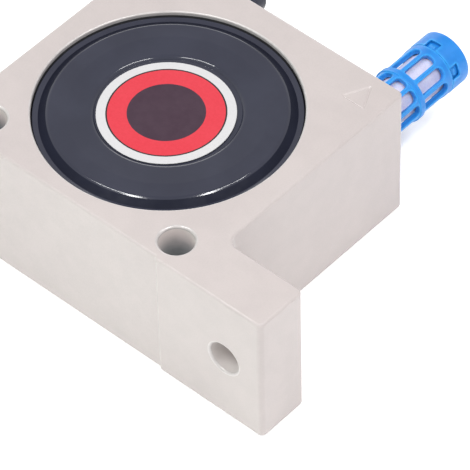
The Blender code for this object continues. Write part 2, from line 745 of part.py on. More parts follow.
def make_silencer_cap(material):
    """End cap that snaps over the cage's neck, with a notch over each snap hook."""
    rounding = 1 * MM
    corner = arc((CAP_RADIUS - rounding, CAP_END - rounding), rounding, 90, 0, 4)
    profile = [(0, CAP_END)] + corner + [
        (CAP_RADIUS, CAP_START),
        (CAP_INNER_RADIUS, CAP_START),
        (CAP_INNER_RADIUS, CAP_INSIDE),
        (0, CAP_INSIDE),
    ]
    cap = turned("silencer_cap", profile, CAGE_STEPS, material)
    half = NOTCH_WIDTH / 2
    top = CAP_START + NOTCH_DEPTH
    outline = [(-half, CAP_START - 1 * MM), (half, CAP_START - 1 * MM), (half, top), (-half, top)]
    notches = radial_cutters("cutter_notches", [outline], NOTCH_COUNT, NOTCH_PHASE,
                             CAP_INNER_RADIUS - 1.2 * MM, CAP_RADIUS + 1 * MM, material)
    cut(cap, notches)
    for piece in (cap, notches):
        face_along_y(piece, PORT_X)


def make_silencer_element(material):
    """Porous sleeve inside the cage."""
    top = CAGE_END - 0.2 * MM
    profile = [
        (ELEMENT_INNER_RADIUS, top),
        (ELEMENT_RADIUS, top),
        (ELEMENT_RADIUS, ELEMENT_SEAT),
        (ELEMENT_INNER_RADIUS, ELEMENT_SEAT),
    ]
    face_along_y(turned("silencer_element", profile, SMALL_STEPS, material), PORT_X)


def move_origin_to_footprint():
    """Hang every piece from one empty, so that the origin is the middle of the footprint."""
    footprint = bpy.data.objects.new("footprint_offset", None)
    bpy.context.collection.objects.link(footprint)
    footprint.location = (0, -(BODY_HEIGHT + CAP_END) / 2, 0)
    for obj in bpy.data.objects:
        if obj is not footprint and obj.parent is None:
            obj.parent = footprint


def main():
    clear_scene()
    paint = make_material("paint", COLOUR_PAINT, 0.5, 0.0)
    black = make_material("black_plastic", COLOUR_BLACK, 0.3, 0.0)
    steel = make_material("hardened_steel", COLOUR_STEEL, 0.25, 1.0)
    rubber = make_material("rubber", COLOUR_RUBBER, 0.7, 0.0)
    label = make_material("label", COLOUR_WHITE, 0.35, 0.0)
    plated = make_material("plated_brass", COLOUR_BRASS, 0.3, 1.0)
    blue = make_material("blue_plastic", COLOUR_BLUE, 0.4, 0.0)
    porous = make_material("porous_plastic", COLOUR_WHITE, 0.9, 0.0)
    make_housing(paint)
    make_covers(black)
    make_cover_seals(rubber)
    make_raceways(steel)
    make_ball(steel)
    make_label(label)
    make_inlet_stem(plated)
    make_sealing_ring("inlet_seal", -PORT_X, rubber)
    make_inlet_sleeve(black)
    make_tube_seal(rubber)
    make_grab_ring(steel)
    make_collar_guide(plated)
    make_release_collar(black)
    make_silencer_body(blue)
    make_sealing_ring("silencer_seal", PORT_X, rubber)
    make_silencer_cap(blue)
    make_silencer_element(porous)
    move_origin_to_footprint()


main()
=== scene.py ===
"""Looks of the pneumatic ball vibrator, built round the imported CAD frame.

Every piece is made again at a finer resolution than the CAD solid that it stands for, with the same
dimensions and in the same place, and gets a procedural finish. Lengths are in millimetres in the outlines
and in metres in the meshes.
"""
import math

import bmesh
import bpy
from mathutils import Matrix, Vector


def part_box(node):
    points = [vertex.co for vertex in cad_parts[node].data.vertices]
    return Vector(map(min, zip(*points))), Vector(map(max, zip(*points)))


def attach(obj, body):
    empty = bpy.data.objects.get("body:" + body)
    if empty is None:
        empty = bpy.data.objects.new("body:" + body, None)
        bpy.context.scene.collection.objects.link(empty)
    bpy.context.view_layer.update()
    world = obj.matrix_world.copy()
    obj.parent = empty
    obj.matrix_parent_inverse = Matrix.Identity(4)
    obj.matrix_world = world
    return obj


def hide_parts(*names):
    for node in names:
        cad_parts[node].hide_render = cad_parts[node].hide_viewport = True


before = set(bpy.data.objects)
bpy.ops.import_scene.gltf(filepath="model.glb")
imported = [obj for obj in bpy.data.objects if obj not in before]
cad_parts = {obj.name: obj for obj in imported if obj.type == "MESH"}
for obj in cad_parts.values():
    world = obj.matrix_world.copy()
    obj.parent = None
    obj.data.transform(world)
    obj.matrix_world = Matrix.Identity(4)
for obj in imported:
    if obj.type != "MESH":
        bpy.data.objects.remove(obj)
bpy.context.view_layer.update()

MM = 0.001
WHITE = (1.0, 1.0, 1.0)

# Places in metres, from the frame
HOUSING_LOW, HOUSING_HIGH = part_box("housing")
BASE_Y = HOUSING_LOW.y
PORT_FACE_Y = HOUSING_HIGH.y
FRONT_FACE_Z = HOUSING_HIGH.z
MID_Z = (HOUSING_LOW.z + HOUSING_HIGH.z) / 2
CHAMBER = sum(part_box("front_cover_seal"), Vector()) / 2
CHAMBER.x = 0
CHAMBER.z = MID_Z
LABEL_CENTRE = sum(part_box("front_label"), Vector()) / 2
PORT_X = sum(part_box("silencer_cap"), Vector()).x / 2


def in_mm(length):
    """A length from the frame in millimetres, without its single-precision tail."""
    return round(length / MM, 3)


# Sizes in millimetres. The main ones match the CAD solids. Those across an axis are radii or half widths.

# Block
BASE_HALF = in_mm(HOUSING_HIGH.x)
BODY_HEIGHT = in_mm(PORT_FACE_Y - BASE_Y)
THICKNESS = in_mm(HOUSING_HIGH.z - HOUSING_LOW.z)
BODY_HALF = 50.0
FOOT_THICKNESS = 19.0
FOOT_FILLET = 4.0
CORNER_RADIUS = 2.0
EDGE_ROUNDING = 1.0
RELIEF_HALF = 38.75
RELIEF_DEPTH = 0.8
SIDE_HOLE_X = 38.5
FOOT_HOLE_X = 65.0
BOLT_HOLE_RADIUS = 5.5
BOLT_HOLE_MOUTH = 0.9

# Chamber, from its middle plane outwards
RIB_RADIUS = 39.0
RIB_HALF = 4.0
RACE_BORE = 41.0
COVER_SEAT = 16.0
COVER_BORE = 41.9
SNAP_RADIUS = 42.5
SNAP_LOW = 16.6
SNAP_HIGH = 18.2
CHAMBER_MOUTH = 0.6
# The chamber's bore wall takes the pale cut finish down to this depth: painted light on the wall.
CUT_EDGE_DEPTH = 1.4

# Ball and raceways
BALL_RADIUS = 18.0
ORBIT_RADIUS = 20.0
GROOVE_RADIUS = 18.6
RACE_INNER_Z = 4.3
RACE_OUTER_Z = 15.8
RACE_LIP = 0.4
RACE_RADIUS = 40.7

# Covers, from the middle plane outwards
COVER_RADIUS = 41.6
LABEL_FLOOR_Z = 23.4
FLANK_START_RADIUS = 37.3
FLANK_END_RADIUS = 39.7
COVER_OUTSIDE_Z = 22.5  # faces beyond it are on the cover's outer side
SEAL_GROOVE_LOW = 19.2
SEAL_GROOVE_HIGH = 22.0
O_RING_RADIUS = 40.5
O_RING_WIRE_RADIUS = 1.1

# Label
LABEL_RADIUS = 21.5
LABEL_THICKNESS = 0.3
LABEL_GAP = 0.3
WHITE_RING_INNER = 18.58
RED_RING_OUTER = 18.08
RED_RING_INNER = 12.1

# Ports and threads
PORT_ROOT = 8.3
PORT_CREST = 7.5
PORT_MOUTH = 0.3
PORT_MOUTH_RADIUS = 8.9
PORT_EDGE_DEPTH = 0.4
PORT_THREAD_TOP = -1.0
PORT_TURNS = 6
PORT_DEPTH = 14.0
DUCT_RADIUS = 3.5
DUCT_DEPTH = 36.0
DRILL_POINT = 2.0
THREAD_PITCH = 1.4
ROOT_FLAT = 0.1
HALF_CREST_FLAT = 0.06

# Direction arrow beside the exhaust port, with a wider line than in the CAD solid
ARROW_BASE = (40.7, 87.0)
ARROW_SIZE = 8.2
ARROW_LINE = 1.0
ARROW_DEPTH = 0.335
ARROW_FLOOR_HALF = 0.05
ARROW_LIP = 0.02

# Fittings, outwards from the port face
HEX_START = 1.4
HEX_FLAT = 9.5
HEX_HOLE = 6.0
HEX_CHAMFER = 0.7
NECK_RADIUS = 7.2
NECK_END = 6.0
STEM_CREST = 8.0
STEM_THREAD_TOP = -1.7
STEM_TURNS = 5
STEM_END = -10.4
STEM_CHAMFER = 0.6
SEAL_INNER = 7.6
SEAL_OUTER = 9.3
SEAL_LOW = 0.3
SEAL_HIGH = 1.1

# Push-in inlet fitting
INLET_HEX_END = 7.0
INLET_BORE = 4.0
SPIGOT_END = 12.0
INSERT_RADIUS = 7.3
GRIP_HEIGHTS = (12.4, 10.9, 9.4)
TUBE_CLEAR = 5.2
GRAB_RING_LOW = 15.5
GRAB_RING_HIGH = 16.0
GRAB_TEETH = 8

# Silencer
SILENCER_HEX_END = 5.2
SILENCER_BORE = 5.2
CAGE_OUTER = 9.3
CAGE_INNER = 7.4
CAGE_LOW = 4.2
CAGE_FLOOR = 5.3
CAGE_BAND = 9.62
CAGE_TOP = 32.0
WINDOW_HALF = 2.05
WINDOW_ROUNDING = 0.28
WINDOW_SIDE_STEPS = 6
CAP_SPIGOT = 8.4
CAP_SPIGOT_TOP = 36.6
CAP_CLIPS = 5
CAP_RADIUS = 9.4
CAP_TOP = 40.0
CAP_WALL = 0.7
CAP_ROOF = 1.6
CAP_GAP = 0.03
HOOK_HALF = 1.1
NOTCH_HALF = 2.2
NOTCH_INNER = 7.5
NOTCH_OUTER = 10.4

# Rows of windows: low and high edge, low and high corner radius, floor and ceiling of the band
FIRST_ROW = (6.8, 15.9, 0.4, 1.3, 6.35, 16.3)
SECOND_ROW = (18.8, 29.4, 0.4, 1.6, 18.4, 29.85)

# Steps round a turned piece
BIG_STEPS = 160
SMALL_STEPS = 72
BALL_STEPS = 96
CAGE_SECTORS = 10
SECTOR_STEPS = 10
CAGE_STEPS = CAGE_SECTORS * SECTOR_STEPS

# Directions round the silencer, in radians
SECTOR = math.tau / CAGE_SECTORS
WINDOW_PHASE = math.radians(-75.5)
NOTCH_PHASE = math.radians(-93.5)
CAGE_PHASE = WINDOW_PHASE - SECTOR / 2

# How far a cutter stands out of what it cuts
OVERSHOOT = 3.0

# Studio: metres and degrees, apart from the camera's shift in millimetres
FLOOR_REACH = 3.0
FLOOR_Z = -0.0002
SKY_LOW_STRENGTH = 0.80
SKY_TOP_STRENGTH = 0.40
LAMP_TARGET = Vector((0, -0.02, 0.04))
CAMERA_TARGET = Vector((0, BASE_Y + 0.05, 0.04))
CAMERA_AZIMUTH = -42.80
CAMERA_ELEVATION = 47.428
CAMERA_ROLL = -1.472
CAMERA_DISTANCE = 1.3407
CAMERA_RIGHT = 18.873
CAMERA_DOWN = 32.717
CAMERA_LENS = 335.95
CAMERA_SENSOR = 36

# Turns a piece's own +Z to +Y
UPRIGHT = Matrix.Rotation(-math.pi / 2, 4, "X")

TO_CHAMBER = Matrix.Translation(CHAMBER)
TO_REAR = TO_CHAMBER @ Matrix.Rotation(math.pi, 4, "Y")


def to_port(x):
    """Stands a turned piece on the port face at x: its own +Z becomes +Y."""
    return Matrix.Translation((x, PORT_FACE_Y, MID_Z)) @ UPRIGHT


# ---------------- shapes


def rounded(corners, steps=5):
    """Closed outline from (a, b, radius) corners, each rounded to its radius."""
    points = []
    for index, (a, b, radius) in enumerate(corners):
        here = Vector((a, b))
        if not radius:
            points.append((a, b))
            continue
        back = Vector(corners[index - 1][:2]) - here
        ahead = Vector(corners[(index + 1) % len(corners)][:2]) - here
        half = back.angle(ahead) / 2
        reach = min(radius / math.tan(half), 0.49 * back.length, 0.49 * ahead.length)
        centre = here + (back.normalized() + ahead.normalized()).normalized() * reach / math.cos(half)
        first = here + back.normalized() * reach - centre
        last = here + ahead.normalized() * reach - centre
        start = math.atan2(first.y, first.x)
        turn = math.atan2(first.x * last.y - first.y * last.x, first.dot(last))
        for step in range(steps + 1):
            angle = start + turn * step / steps
            points.append((
                centre.x + first.length * math.cos(angle),
                centre.y + first.length * math.sin(angle),
            ))
    return points


def arc(centre, radius, start, end, steps):
    """Points of an arc, in degrees, both ends included."""
    angles = [math.radians(start + (end - start) * step / steps) for step in range(steps + 1)]
    return [(centre[0] + radius * math.cos(a), centre[1] + radius * math.sin(a)) for a in angles]


def quarter(steps):
    """Run and rise at each step round a quarter of a circle of radius 1, from its foot."""
    angles = [math.radians(90 * step / steps) for step in range(steps + 1)]
    return [(1 - math.sin(a), 1 - math.cos(a)) for a in angles]


def linked(name, data):
    obj = bpy.data.objects.new(name, data)
    bpy.context.scene.collection.objects.link(obj)
    return obj


def solid(name, vertices, faces, place=None):
    """Object from millimetre vertices, welded, with its faces pointing out, placed by a matrix."""
    mesh = bpy.data.meshes.new(name)
    mesh.from_pydata([Vector(v) * MM for v in vertices], [], faces)
    bm = bmesh.new()
    bm.from_mesh(mesh)
    bmesh.ops.remove_doubles(bm, verts=bm.verts, dist=0.0005 * MM)
    bmesh.ops.recalc_face_normals(bm, faces=bm.faces)
    bm.to_mesh(mesh)
    bm.free()
    if place is not None:
        mesh.transform(place)
    return linked(name, mesh)


def lathe(outline, steps, closed=True, phase=0.0):
    """Vertices and faces of a (radius, height) outline spun round Z. Radius 0 makes a pole."""
    vertices, rings = [], []
    for radius, height in outline:
        count = 1 if abs(radius) < 1e-6 else steps
        rings.append([len(vertices) + index for index in range(count)])
        for index in range(count):
            angle = phase + math.tau * index / steps
            vertices.append((radius * math.cos(angle), radius * math.sin(angle), height))
    faces = []
    following = rings[1:] + rings[:1] if closed else rings[1:]
    for ring, after in zip(rings, following):
        if len(ring) == 1 and len(after) == 1:
            continue
        for index in range(steps):
            other = (index + 1) % steps
            corners = [ring[index % len(ring)], ring[other % len(ring)],
                       after[other % len(after)], after[index % len(after)]]
            faces.append(list(dict.fromkeys(corners)))
    return vertices, faces


def turned(name, outline, steps, place=None, phase=0.0):
    return solid(name, *lathe(outline, steps, phase=phase), place)


def bands(count, rows, closed=False):
    """Faces between neighbouring rows of count vertices, and from the last row to the first if closed."""
    faces = []
    for row in range(rows if closed else rows - 1):
        here, after = row * count, (row + 1) % rows * count
        for index in range(count):
            other = (index + 1) % count
            faces.append([here + index, here + other, after + other, after + index])
    return faces


def prism(name, outline, low, high, rounding=0.0, place=None, steps=5):
    """Outline, anticlockwise, extruded along Z, with the edges of both ends rounded."""
    count = len(outline)
    mitres = []
    for index, point in enumerate(outline):
        here = Vector(point)
        back = (here - Vector(outline[index - 1])).normalized()
        ahead = (Vector(outline[(index + 1) % count]) - here).normalized()
        first, second = Vector((back.y, -back.x)), Vector((ahead.y, -ahead.x))
        mitres.append((first + second) / (1 + first.dot(second)))
    sections = [(0.0, low), (0.0, high)]
    if rounding:
        foot = [(rounding * run, rounding * rise) for run, rise in quarter(steps)]
        sections = [(inset, low + rise) for inset, rise in foot]
        sections += [(inset, high - rise) for inset, rise in reversed(foot)]
    vertices = []
    for inset, height in sections:
        for (x, y), mitre in zip(outline, mitres):
            vertices.append((x - mitre.x * inset, y - mitre.y * inset, height))
    faces = [list(range(count)), list(range(len(vertices) - count, len(vertices)))]
    faces += bands(count, len(sections))
    return solid(name, vertices, faces, place)


def joined(target, operation, *others):
    """Boolean of target with each of the others, which are used up."""
    for other in others:
        modifier = target.modifiers.new(other.name, "BOOLEAN")
        modifier.operation = operation
        modifier.solver = "EXACT"
        modifier.object = other
    depsgraph = bpy.context.evaluated_depsgraph_get()
    mesh = bpy.data.meshes.new_from_object(target.evaluated_get(depsgraph))
    target.modifiers.clear()
    target.data = mesh
    for other in others:
        bpy.data.objects.remove(other)
    return target


def cut(target, *cutters):
    return joined(target, "DIFFERENCE", *cutters)


def merged(name, parts, place=None):
    """One mesh from several lists of vertices and faces."""
    vertices, faces = [], []
    for part_vertices, part_faces in parts:
        start = len(vertices)
        vertices += part_vertices
        faces += [[start + index for index in face] for face in part_faces]
    return solid(name, vertices, faces, place)


def finished(obj, material, body="block", stands_for=None, sharp=32):
    """Shades a piece, gives it its finish, and hangs it on its body in place of its CAD node."""
    if material is not None:
        obj.data.materials.clear()
        obj.data.materials.append(material)
    obj.data.shade_smooth()
    obj.data.set_sharp_from_angle(angle=math.radians(sharp))
    weighted = obj.modifiers.new("even_shading", "WEIGHTED_NORMAL")
    weighted.keep_sharp = True
    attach(obj, body)
    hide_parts(stands_for)
    return obj


# ---------------- finishes


class Finish:
    """A material's nodes, with short calls for the ones that the finishes share."""

    def __init__(self, name, roughness=0.5, **sockets):
        self.material = bpy.data.materials.new(name)
        self.material.use_nodes = True
        self.nodes = self.material.node_tree.nodes
        self.links = self.material.node_tree.links
        self.shader = self.nodes["Principled BSDF"]
        self.place = self.add("TexCoord").outputs["Object"]
        self.set("Roughness", roughness)
        for socket, value in sockets.items():
            self.set(socket.replace("_", " "), value)

    def set(self, socket, value):
        self.feed(self.shader.inputs[socket], value)

    def feed(self, socket, value):
        if isinstance(value, bpy.types.NodeSocket):
            self.links.new(value, socket)
        elif socket.type == "RGBA" and len(value) == 3:
            socket.default_value = (*value, 1.0)
        else:
            socket.default_value = value

    def add(self, kind, inputs=(), **settings):
        """New shader node, with its inputs fed and its settings made."""
        node = self.nodes.new("ShaderNode" + kind)
        for name, value in settings.items():
            setattr(node, name, value)
        for name, value in dict(inputs).items():
            self.feed(node.inputs[name], value)
        return node

    def noise(self, scale, detail=3.0, roughness=0.55, distortion=0.0, place=None):
        return self.add("TexNoise", {
            "Vector": place or self.place, "Scale": scale, "Detail": detail, "Roughness": roughness,
            "Distortion": distortion}).outputs["Fac"]

    def stretched(self, x, y, z):
        """The place, scaled along each axis, for marks that run one way."""
        return self.vector("MULTIPLY", self.place, (x, y, z))

    def times(self, first, second):
        return self.maths("MULTIPLY", first, second)

    def maths(self, operation, first, second=0.0, clamp=False):
        inputs = {0: first, 1: second}
        return self.add("Math", inputs, operation=operation, use_clamp=clamp).outputs[0]

    def vector(self, operation, first, second=(0.0, 0.0, 0.0), output="Vector"):
        inputs = {0: first, 1: second}
        return self.add("VectorMath", inputs, operation=operation).outputs[output]

    def along(self, axis):
        """The place along one axis, in metres."""
        return self.add("SeparateXYZ", {"Vector": self.place}).outputs[axis]

    def span(self, value, low, high, to_low=0.0, to_high=1.0):
        """Maps value from low..high to to_low..to_high, held at the ends."""
        return self.add("MapRange", {
            "Value": value, "From Min": low, "From Max": high, "To Min": to_low, "To Max": to_high},
            interpolation_type="SMOOTHSTEP").outputs["Result"]

    def mix(self, factor, first, second, blend="MIX"):
        """Colour between first and second, or a blend of them."""
        node = self.add("Mix", data_type="RGBA", blend_type=blend)
        colours = [socket for socket in node.inputs if socket.type == "RGBA"]
        self.feed(node.inputs["Factor"], factor)
        self.feed(colours[0], first)
        self.feed(colours[1], second)
        return next(socket for socket in node.outputs if socket.type == "RGBA")

    def shades(self, value, dark, light, low=0.35, high=0.65):
        """Colour from dark to light as value goes from low to high."""
        return self.mix(self.span(value, low, high), dark, light)

    def bump(self, height, distance, strength=1.0, normal=None):
        inputs = {"Height": height, "Distance": distance, "Strength": strength}
        if normal is not None:
            inputs["Normal"] = normal
        return self.add("Bump", inputs).outputs["Normal"]

    def soft_edges(self, radius):
        """Normal that rounds edges too small to model."""
        return self.add("Bevel", {"Radius": radius}, samples=4).outputs["Normal"]

    def edges(self, radius, sharpness=3.0):
        """1 along edges, 0 on flats."""
        bevelled = self.soft_edges(radius)
        flat = self.add("NewGeometry").outputs["Normal"]
        away = self.maths("SUBTRACT", 1.0, self.vector("DOT_PRODUCT", bevelled, flat, "Value"))
        return self.maths("MULTIPLY", away, sharpness, clamp=True)

    def specks(self, scale, size, share, seed=0.0):
        """1 in small round specks, in a share of the cells of a loose grid."""
        shifted = self.vector("ADD", self.place, (seed, seed * 0.7, seed * 1.3))
        cells = self.add("TexVoronoi", {"Vector": shifted, "Scale": scale})
        channels = self.add("SeparateColor", {"Color": cells.outputs["Color"]})
        chosen = self.maths("LESS_THAN", channels.outputs["Red"], share)
        near = self.span(cells.outputs["Distance"], size, size * 0.5)
        return self.maths("MULTIPLY", chosen, near)

    def radius_from(self, centre, along):
        """Distance from an axis through centre, in metres."""
        offset = self.vector("SUBTRACT", self.place, tuple(centre))
        keep = tuple(0.0 if axis == along else 1.0 for axis in "XYZ")
        return self.vector("LENGTH", self.vector("MULTIPLY", offset, keep), output="Value")


def painted_metal():
    """Satin light-grey paint: faint clouds, a fine orange peel, a few specks, and paler edges that are
    partly wear and partly a painted highlight along the rounded edges.
    """
    f = Finish("housing_paint")
    clouds = f.shades(f.noise(16, 3), (0.512, 0.456, 0.448), (0.535, 0.480, 0.469))
    fine = f.shades(f.noise(150, 4), (0.97, 0.972, 0.972), WHITE)
    colour = f.mix(1.0, clouds, fine, "MULTIPLY")
    grain = f.shades(f.noise(1900, 3), (0.965, 0.965, 0.965), WHITE, 0.3, 0.7)
    colour = f.mix(1.0, colour, grain, "MULTIPLY")
    # Paler along every edge: partly paint wear, partly a painted highlight on the rounded edges.
    pale_edges = f.times(f.edges(0.9 * MM, 4.0), f.span(f.noise(90, 4), 0.3, 0.7, 0.35, 1.0))
    colour = f.mix(f.times(pale_edges, 0.6), colour, (0.66, 0.62, 0.60))
    specks = f.specks(46, 0.016, 0.16)
    colour = f.mix(f.times(specks, 0.55), colour, (0.30, 0.29, 0.27))
    f.set("Base Color", colour)
    f.set("Roughness", f.span(f.noise(70, 4), 0.25, 0.75, 0.19, 0.26))
    peel = f.maths("ADD", f.noise(850, 2), f.times(f.noise(2600, 2), 0.35))
    f.set("Normal", f.bump(peel, 0.02 * MM, 0.55))
    return f.material


def machined_metal():
    """Bare bored aluminium with rings of tool marks, its dark grey partly painted shade deep in the holes.
    Towards the mouths it turns to a pale tint, brighter than the outer paint, as painted light on the hole
    walls; in the chamber's bore it turns near-black instead, as painted shade in the gap round the cover.
    """
    f = Finish("machined_aluminium", Metallic=0.1)
    rings = f.noise(900, 3, place=f.stretched(0.25, 0.25, 2.0))
    # Dark grey bare metal, kept dark partly as painted shade deep in the holes.
    colour = f.shades(rings, (0.36, 0.375, 0.39), (0.40, 0.415, 0.43))
    from_middle = f.maths("ABSOLUTE", f.maths("SUBTRACT", f.along("Z"), MID_Z))
    ragged = f.times(f.maths("SUBTRACT", f.noise(230, 4), 0.5), 2.5 * MM)
    bare, painted = MID_Z - 10.5 * MM, MID_Z - 1.5 * MM
    # Strongest within 1.5 mm of the faces, gone 10.5 mm deep, along a ragged line.
    mouth_light_and_gap_shade = f.span(f.maths("ADD", from_middle, ragged), bare, painted)
    in_chamber = f.maths("LESS_THAN", f.radius_from(CHAMBER, "Z"), (SNAP_RADIUS + 1.5) * MM)
    # Pale tint, brighter than the outer paint, near the hole mouths: painted light. Near-black on the
    # chamber's bore wall: painted shade in the gap round the cover.
    light_and_gap_shade = f.mix(in_chamber, (0.88, 0.80, 0.775), (0.05, 0.05, 0.055))
    colour = f.mix(mouth_light_and_gap_shade, colour, light_and_gap_shade)
    above_base = f.maths("SUBTRACT", f.along("Y"), BASE_Y)
    low_enough = f.maths("LESS_THAN", above_base, (FOOT_THICKNESS + 0.5) * MM)
    in_foot = f.times(low_enough, f.span(from_middle, 9 * MM, 7 * MM))
    # Foot holes tinted pale, brighter than the outer paint: painted light on their walls.
    colour = f.mix(in_foot, colour, (0.68, 0.635, 0.62))
    stain = f.shades(f.noise(160, 4), (0.94, 0.94, 0.94), WHITE)
    f.set("Base Color", f.mix(1.0, colour, stain, "MULTIPLY"))
    f.set("Roughness", f.span(rings, 0.3, 0.7, 0.36, 0.55))
    f.set("Normal", f.bump(rings, 0.02 * MM, 0.6))
    return f.material


def cut_edge_and_sheen():
    """Bright aluminium where the mouths were cut after painting, with fine tool marks and dull patches. It
    is partly a painted highlight: paler than the outer paint to give the mouths bright lines, and laid down
    the chamber's bore wall to make it lighter.
    """
    f = Finish("cut_aluminium_and_sheen", Metallic=0.25)
    lines = f.noise(1500, 3, place=f.stretched(0.4, 0.4, 2.0))
    dull = f.shades(f.noise(170, 4), (0.93, 0.93, 0.93), WHITE)
    # Paler than the outer paint: cut metal, partly a painted highlight along the mouths.
    tone = f.shades(lines, (0.56, 0.525, 0.515), (0.61, 0.575, 0.565))
    f.set("Base Color", f.mix(1.0, tone, dull, "MULTIPLY"))
    f.set("Roughness", f.span(lines, 0.3, 0.7, 0.30, 0.42))
    f.set("Normal", f.bump(lines, 0.01 * MM, 0.4))
    return f.material


def black_plastic(name, roughness, specular, centre, along):
    """Moulded black plastic: faint turned rings, hairline scratches, dust, greyer edges."""
    f = Finish(name, Specular_IOR_Level=specular)
    colour = f.shades(f.noise(40, 4), (0.029, 0.0305, 0.048), (0.035, 0.037, 0.057))
    pale_edges = f.times(f.edges(0.35 * MM, 2.5), f.span(f.noise(260, 3), 0.35, 0.7))
    colour = f.mix(f.times(pale_edges, 0.35), colour, (0.10, 0.105, 0.12))
    dust = f.specks(110, 0.035, 0.06, 0.31)
    colour = f.mix(f.times(dust, 0.7), colour, (0.55, 0.56, 0.58))
    f.set("Base Color", colour)
    scratches = f.span(f.noise(120, 2, place=f.stretched(1.0, 9.0, 1.0)), 0.68, 0.75)
    smudges = f.span(f.noise(55, 5, distortion=0.6), 0.3, 0.75, roughness - 0.03, roughness + 0.04)
    f.set("Roughness", f.maths("ADD", smudges, f.times(scratches, 0.08)))
    radius = f.radius_from(centre, along)
    rings = f.maths("SINE", f.times(radius, math.tau / (0.45 * MM)))
    grain = f.maths("ADD", f.noise(2400, 2), f.times(rings, 0.05))
    f.set("Normal", f.bump(grain, 0.012 * MM, 0.35))
    return f.material


def flank_shade_plastic():
    """The same plastic on the cover's flank, made darker and without gloss as painted shade for the dark
    band there, with a fine grain and some dust.
    """
    f = Finish("cover_flank_painted_shade", Specular_IOR_Level=0.1)
    # Darker than the glossy plastic: painted shade on the flank.
    colour = f.shades(f.noise(60, 4), (0.0090, 0.0105, 0.0210), (0.0115, 0.0130, 0.0255))
    dust = f.specks(110, 0.03, 0.05, 0.31)
    f.set("Base Color", f.mix(f.times(dust, 0.6), colour, (0.45, 0.46, 0.48)))
    f.set("Roughness", f.span(f.noise(300, 3), 0.3, 0.7, 0.45, 0.6))
    f.set("Normal", f.bump(f.noise(2400, 3), 0.02 * MM, 0.4))
    return f.material


def printed_label():
    """Plain printed film: a white ring, a thin black line, a red ring and a dark centre."""
    f = Finish("label_film", Coat_Weight=0.15, Coat_Roughness=0.25)
    wobble = f.times(f.maths("SUBTRACT", f.noise(900, 2), 0.5), 0.05 * MM)
    radius = f.maths("ADD", f.radius_from(LABEL_CENTRE, "Z"), wobble)
    soft = 0.05 * MM

    def inside(limit):
        return f.span(radius, limit * MM + soft, limit * MM - soft)

    ink = f.noise(1300, 3)
    white = f.shades(ink, (0.570, 0.560, 0.572), (0.59, 0.58, 0.592))
    red = f.shades(ink, (0.615, 0.028, 0.047), (0.640, 0.032, 0.054))
    centre = f.shades(f.noise(420, 4), (0.036, 0.012, 0.028), (0.042, 0.016, 0.033))
    colour = f.mix(inside(WHITE_RING_INNER), white, (0.012, 0.010, 0.012))
    colour = f.mix(inside(RED_RING_OUTER), colour, red)
    colour = f.mix(inside(RED_RING_INNER), colour, centre)
    marks = f.specks(210, 0.06, 0.05, 0.17)
    colour = f.mix(f.times(marks, 0.3), colour, (0.5, 0.48, 0.46))
    f.set("Base Color", colour)
    f.set("Roughness", f.span(f.noise(90, 4), 0.3, 0.7, 0.32, 0.45))
    f.set("Normal", f.bump(f.noise(1500, 2), 0.01 * MM, 0.3))
    return f.material


def blue_plastic():
    """Satin blue plastic, a little see-through, much paler along its edges: partly wear, partly a painted
    highlight on the ribs and rims.
    """
    f = Finish("silencer_plastic", Subsurface_Weight=0.12, Subsurface_Radius=(0.2, 0.5, 1.0),
               Subsurface_Scale=0.8 * MM)
    colour = f.shades(f.noise(170, 3), (0.008, 0.192, 0.61), (0.012, 0.222, 0.67))
    # Much paler along the edges: partly wear, partly a painted highlight on ribs, rims and window edges.
    pale_edges = f.times(f.edges(1.5 * MM, 5.0), f.span(f.noise(330, 3), 0.3, 0.7, 0.6, 1.0))
    colour = f.mix(f.times(pale_edges, 0.85), colour, (0.045, 0.45, 0.92))
    f.set("Base Color", colour)
    f.set("Roughness", f.span(f.noise(220, 4), 0.3, 0.7, 0.32, 0.46))
    rounded_normal = f.soft_edges(0.18 * MM)
    f.set("Normal", f.bump(f.noise(2100, 2), 0.02 * MM, 0.4, rounded_normal))
    return f.material


def sintered_plastic():
    """White porous plastic made of fused grains."""
    f = Finish("porous_plastic", roughness=0.9, Subsurface_Weight=0.15, Subsurface_Scale=0.6 * MM)
    grains = f.add("TexVoronoi", {"Vector": f.place, "Scale": 2600}).outputs["Distance"]
    # Lavender-grey tone over the whole element, in soft patches.
    lavender_grey_tone = f.shades(f.noise(300, 4), (0.62, 0.61, 0.76), (0.68, 0.67, 0.80))
    # A little darker in the pores between grains, where the bump sinks: painted shade.
    pores = f.mix(f.span(grains, 0.45, 0.8), WHITE, (0.90, 0.90, 0.94))
    f.set("Base Color", f.mix(1.0, lavender_grey_tone, pores, "MULTIPLY"))
    f.set("Normal", f.bump(grains, 0.06 * MM, -0.5))
    return f.material


def metal(name, dark, light, roughness, marks, stretch=(1.0, 1.0, 1.0), depth=0.008 * MM):
    """Bare or plated metal with fine marks that may run one way, and paler edges."""
    f = Finish(name, Metallic=1.0)
    lines = f.noise(marks, 3, place=f.stretched(*stretch))
    tone = f.shades(lines, dark, light)
    stain = f.shades(f.noise(200, 4), (0.88, 0.88, 0.88), WHITE)
    colour = f.mix(1.0, tone, stain, "MULTIPLY")
    worn = f.times(f.edges(0.25 * MM, 3.0), 0.5)
    f.set("Base Color", f.mix(worn, colour, (0.86, 0.85, 0.83)))
    f.set("Roughness", f.span(lines, 0.3, 0.7, roughness * 0.8, roughness * 1.3))
    f.set("Normal", f.bump(lines, depth, 0.5))
    return f.material


def rubber():
    """Matt black rubber with a dusty bloom."""
    f = Finish("seal_rubber", Specular_IOR_Level=0.35)
    f.set("Base Color", f.shades(f.noise(260, 5), (0.012, 0.012, 0.013), (0.032, 0.032, 0.034)))
    f.set("Roughness", f.span(f.noise(420, 3), 0.3, 0.7, 0.6, 0.8))
    f.set("Normal", f.bump(f.noise(1800, 3), 0.02 * MM, 0.5))
    return f.material


# ---------------- housing


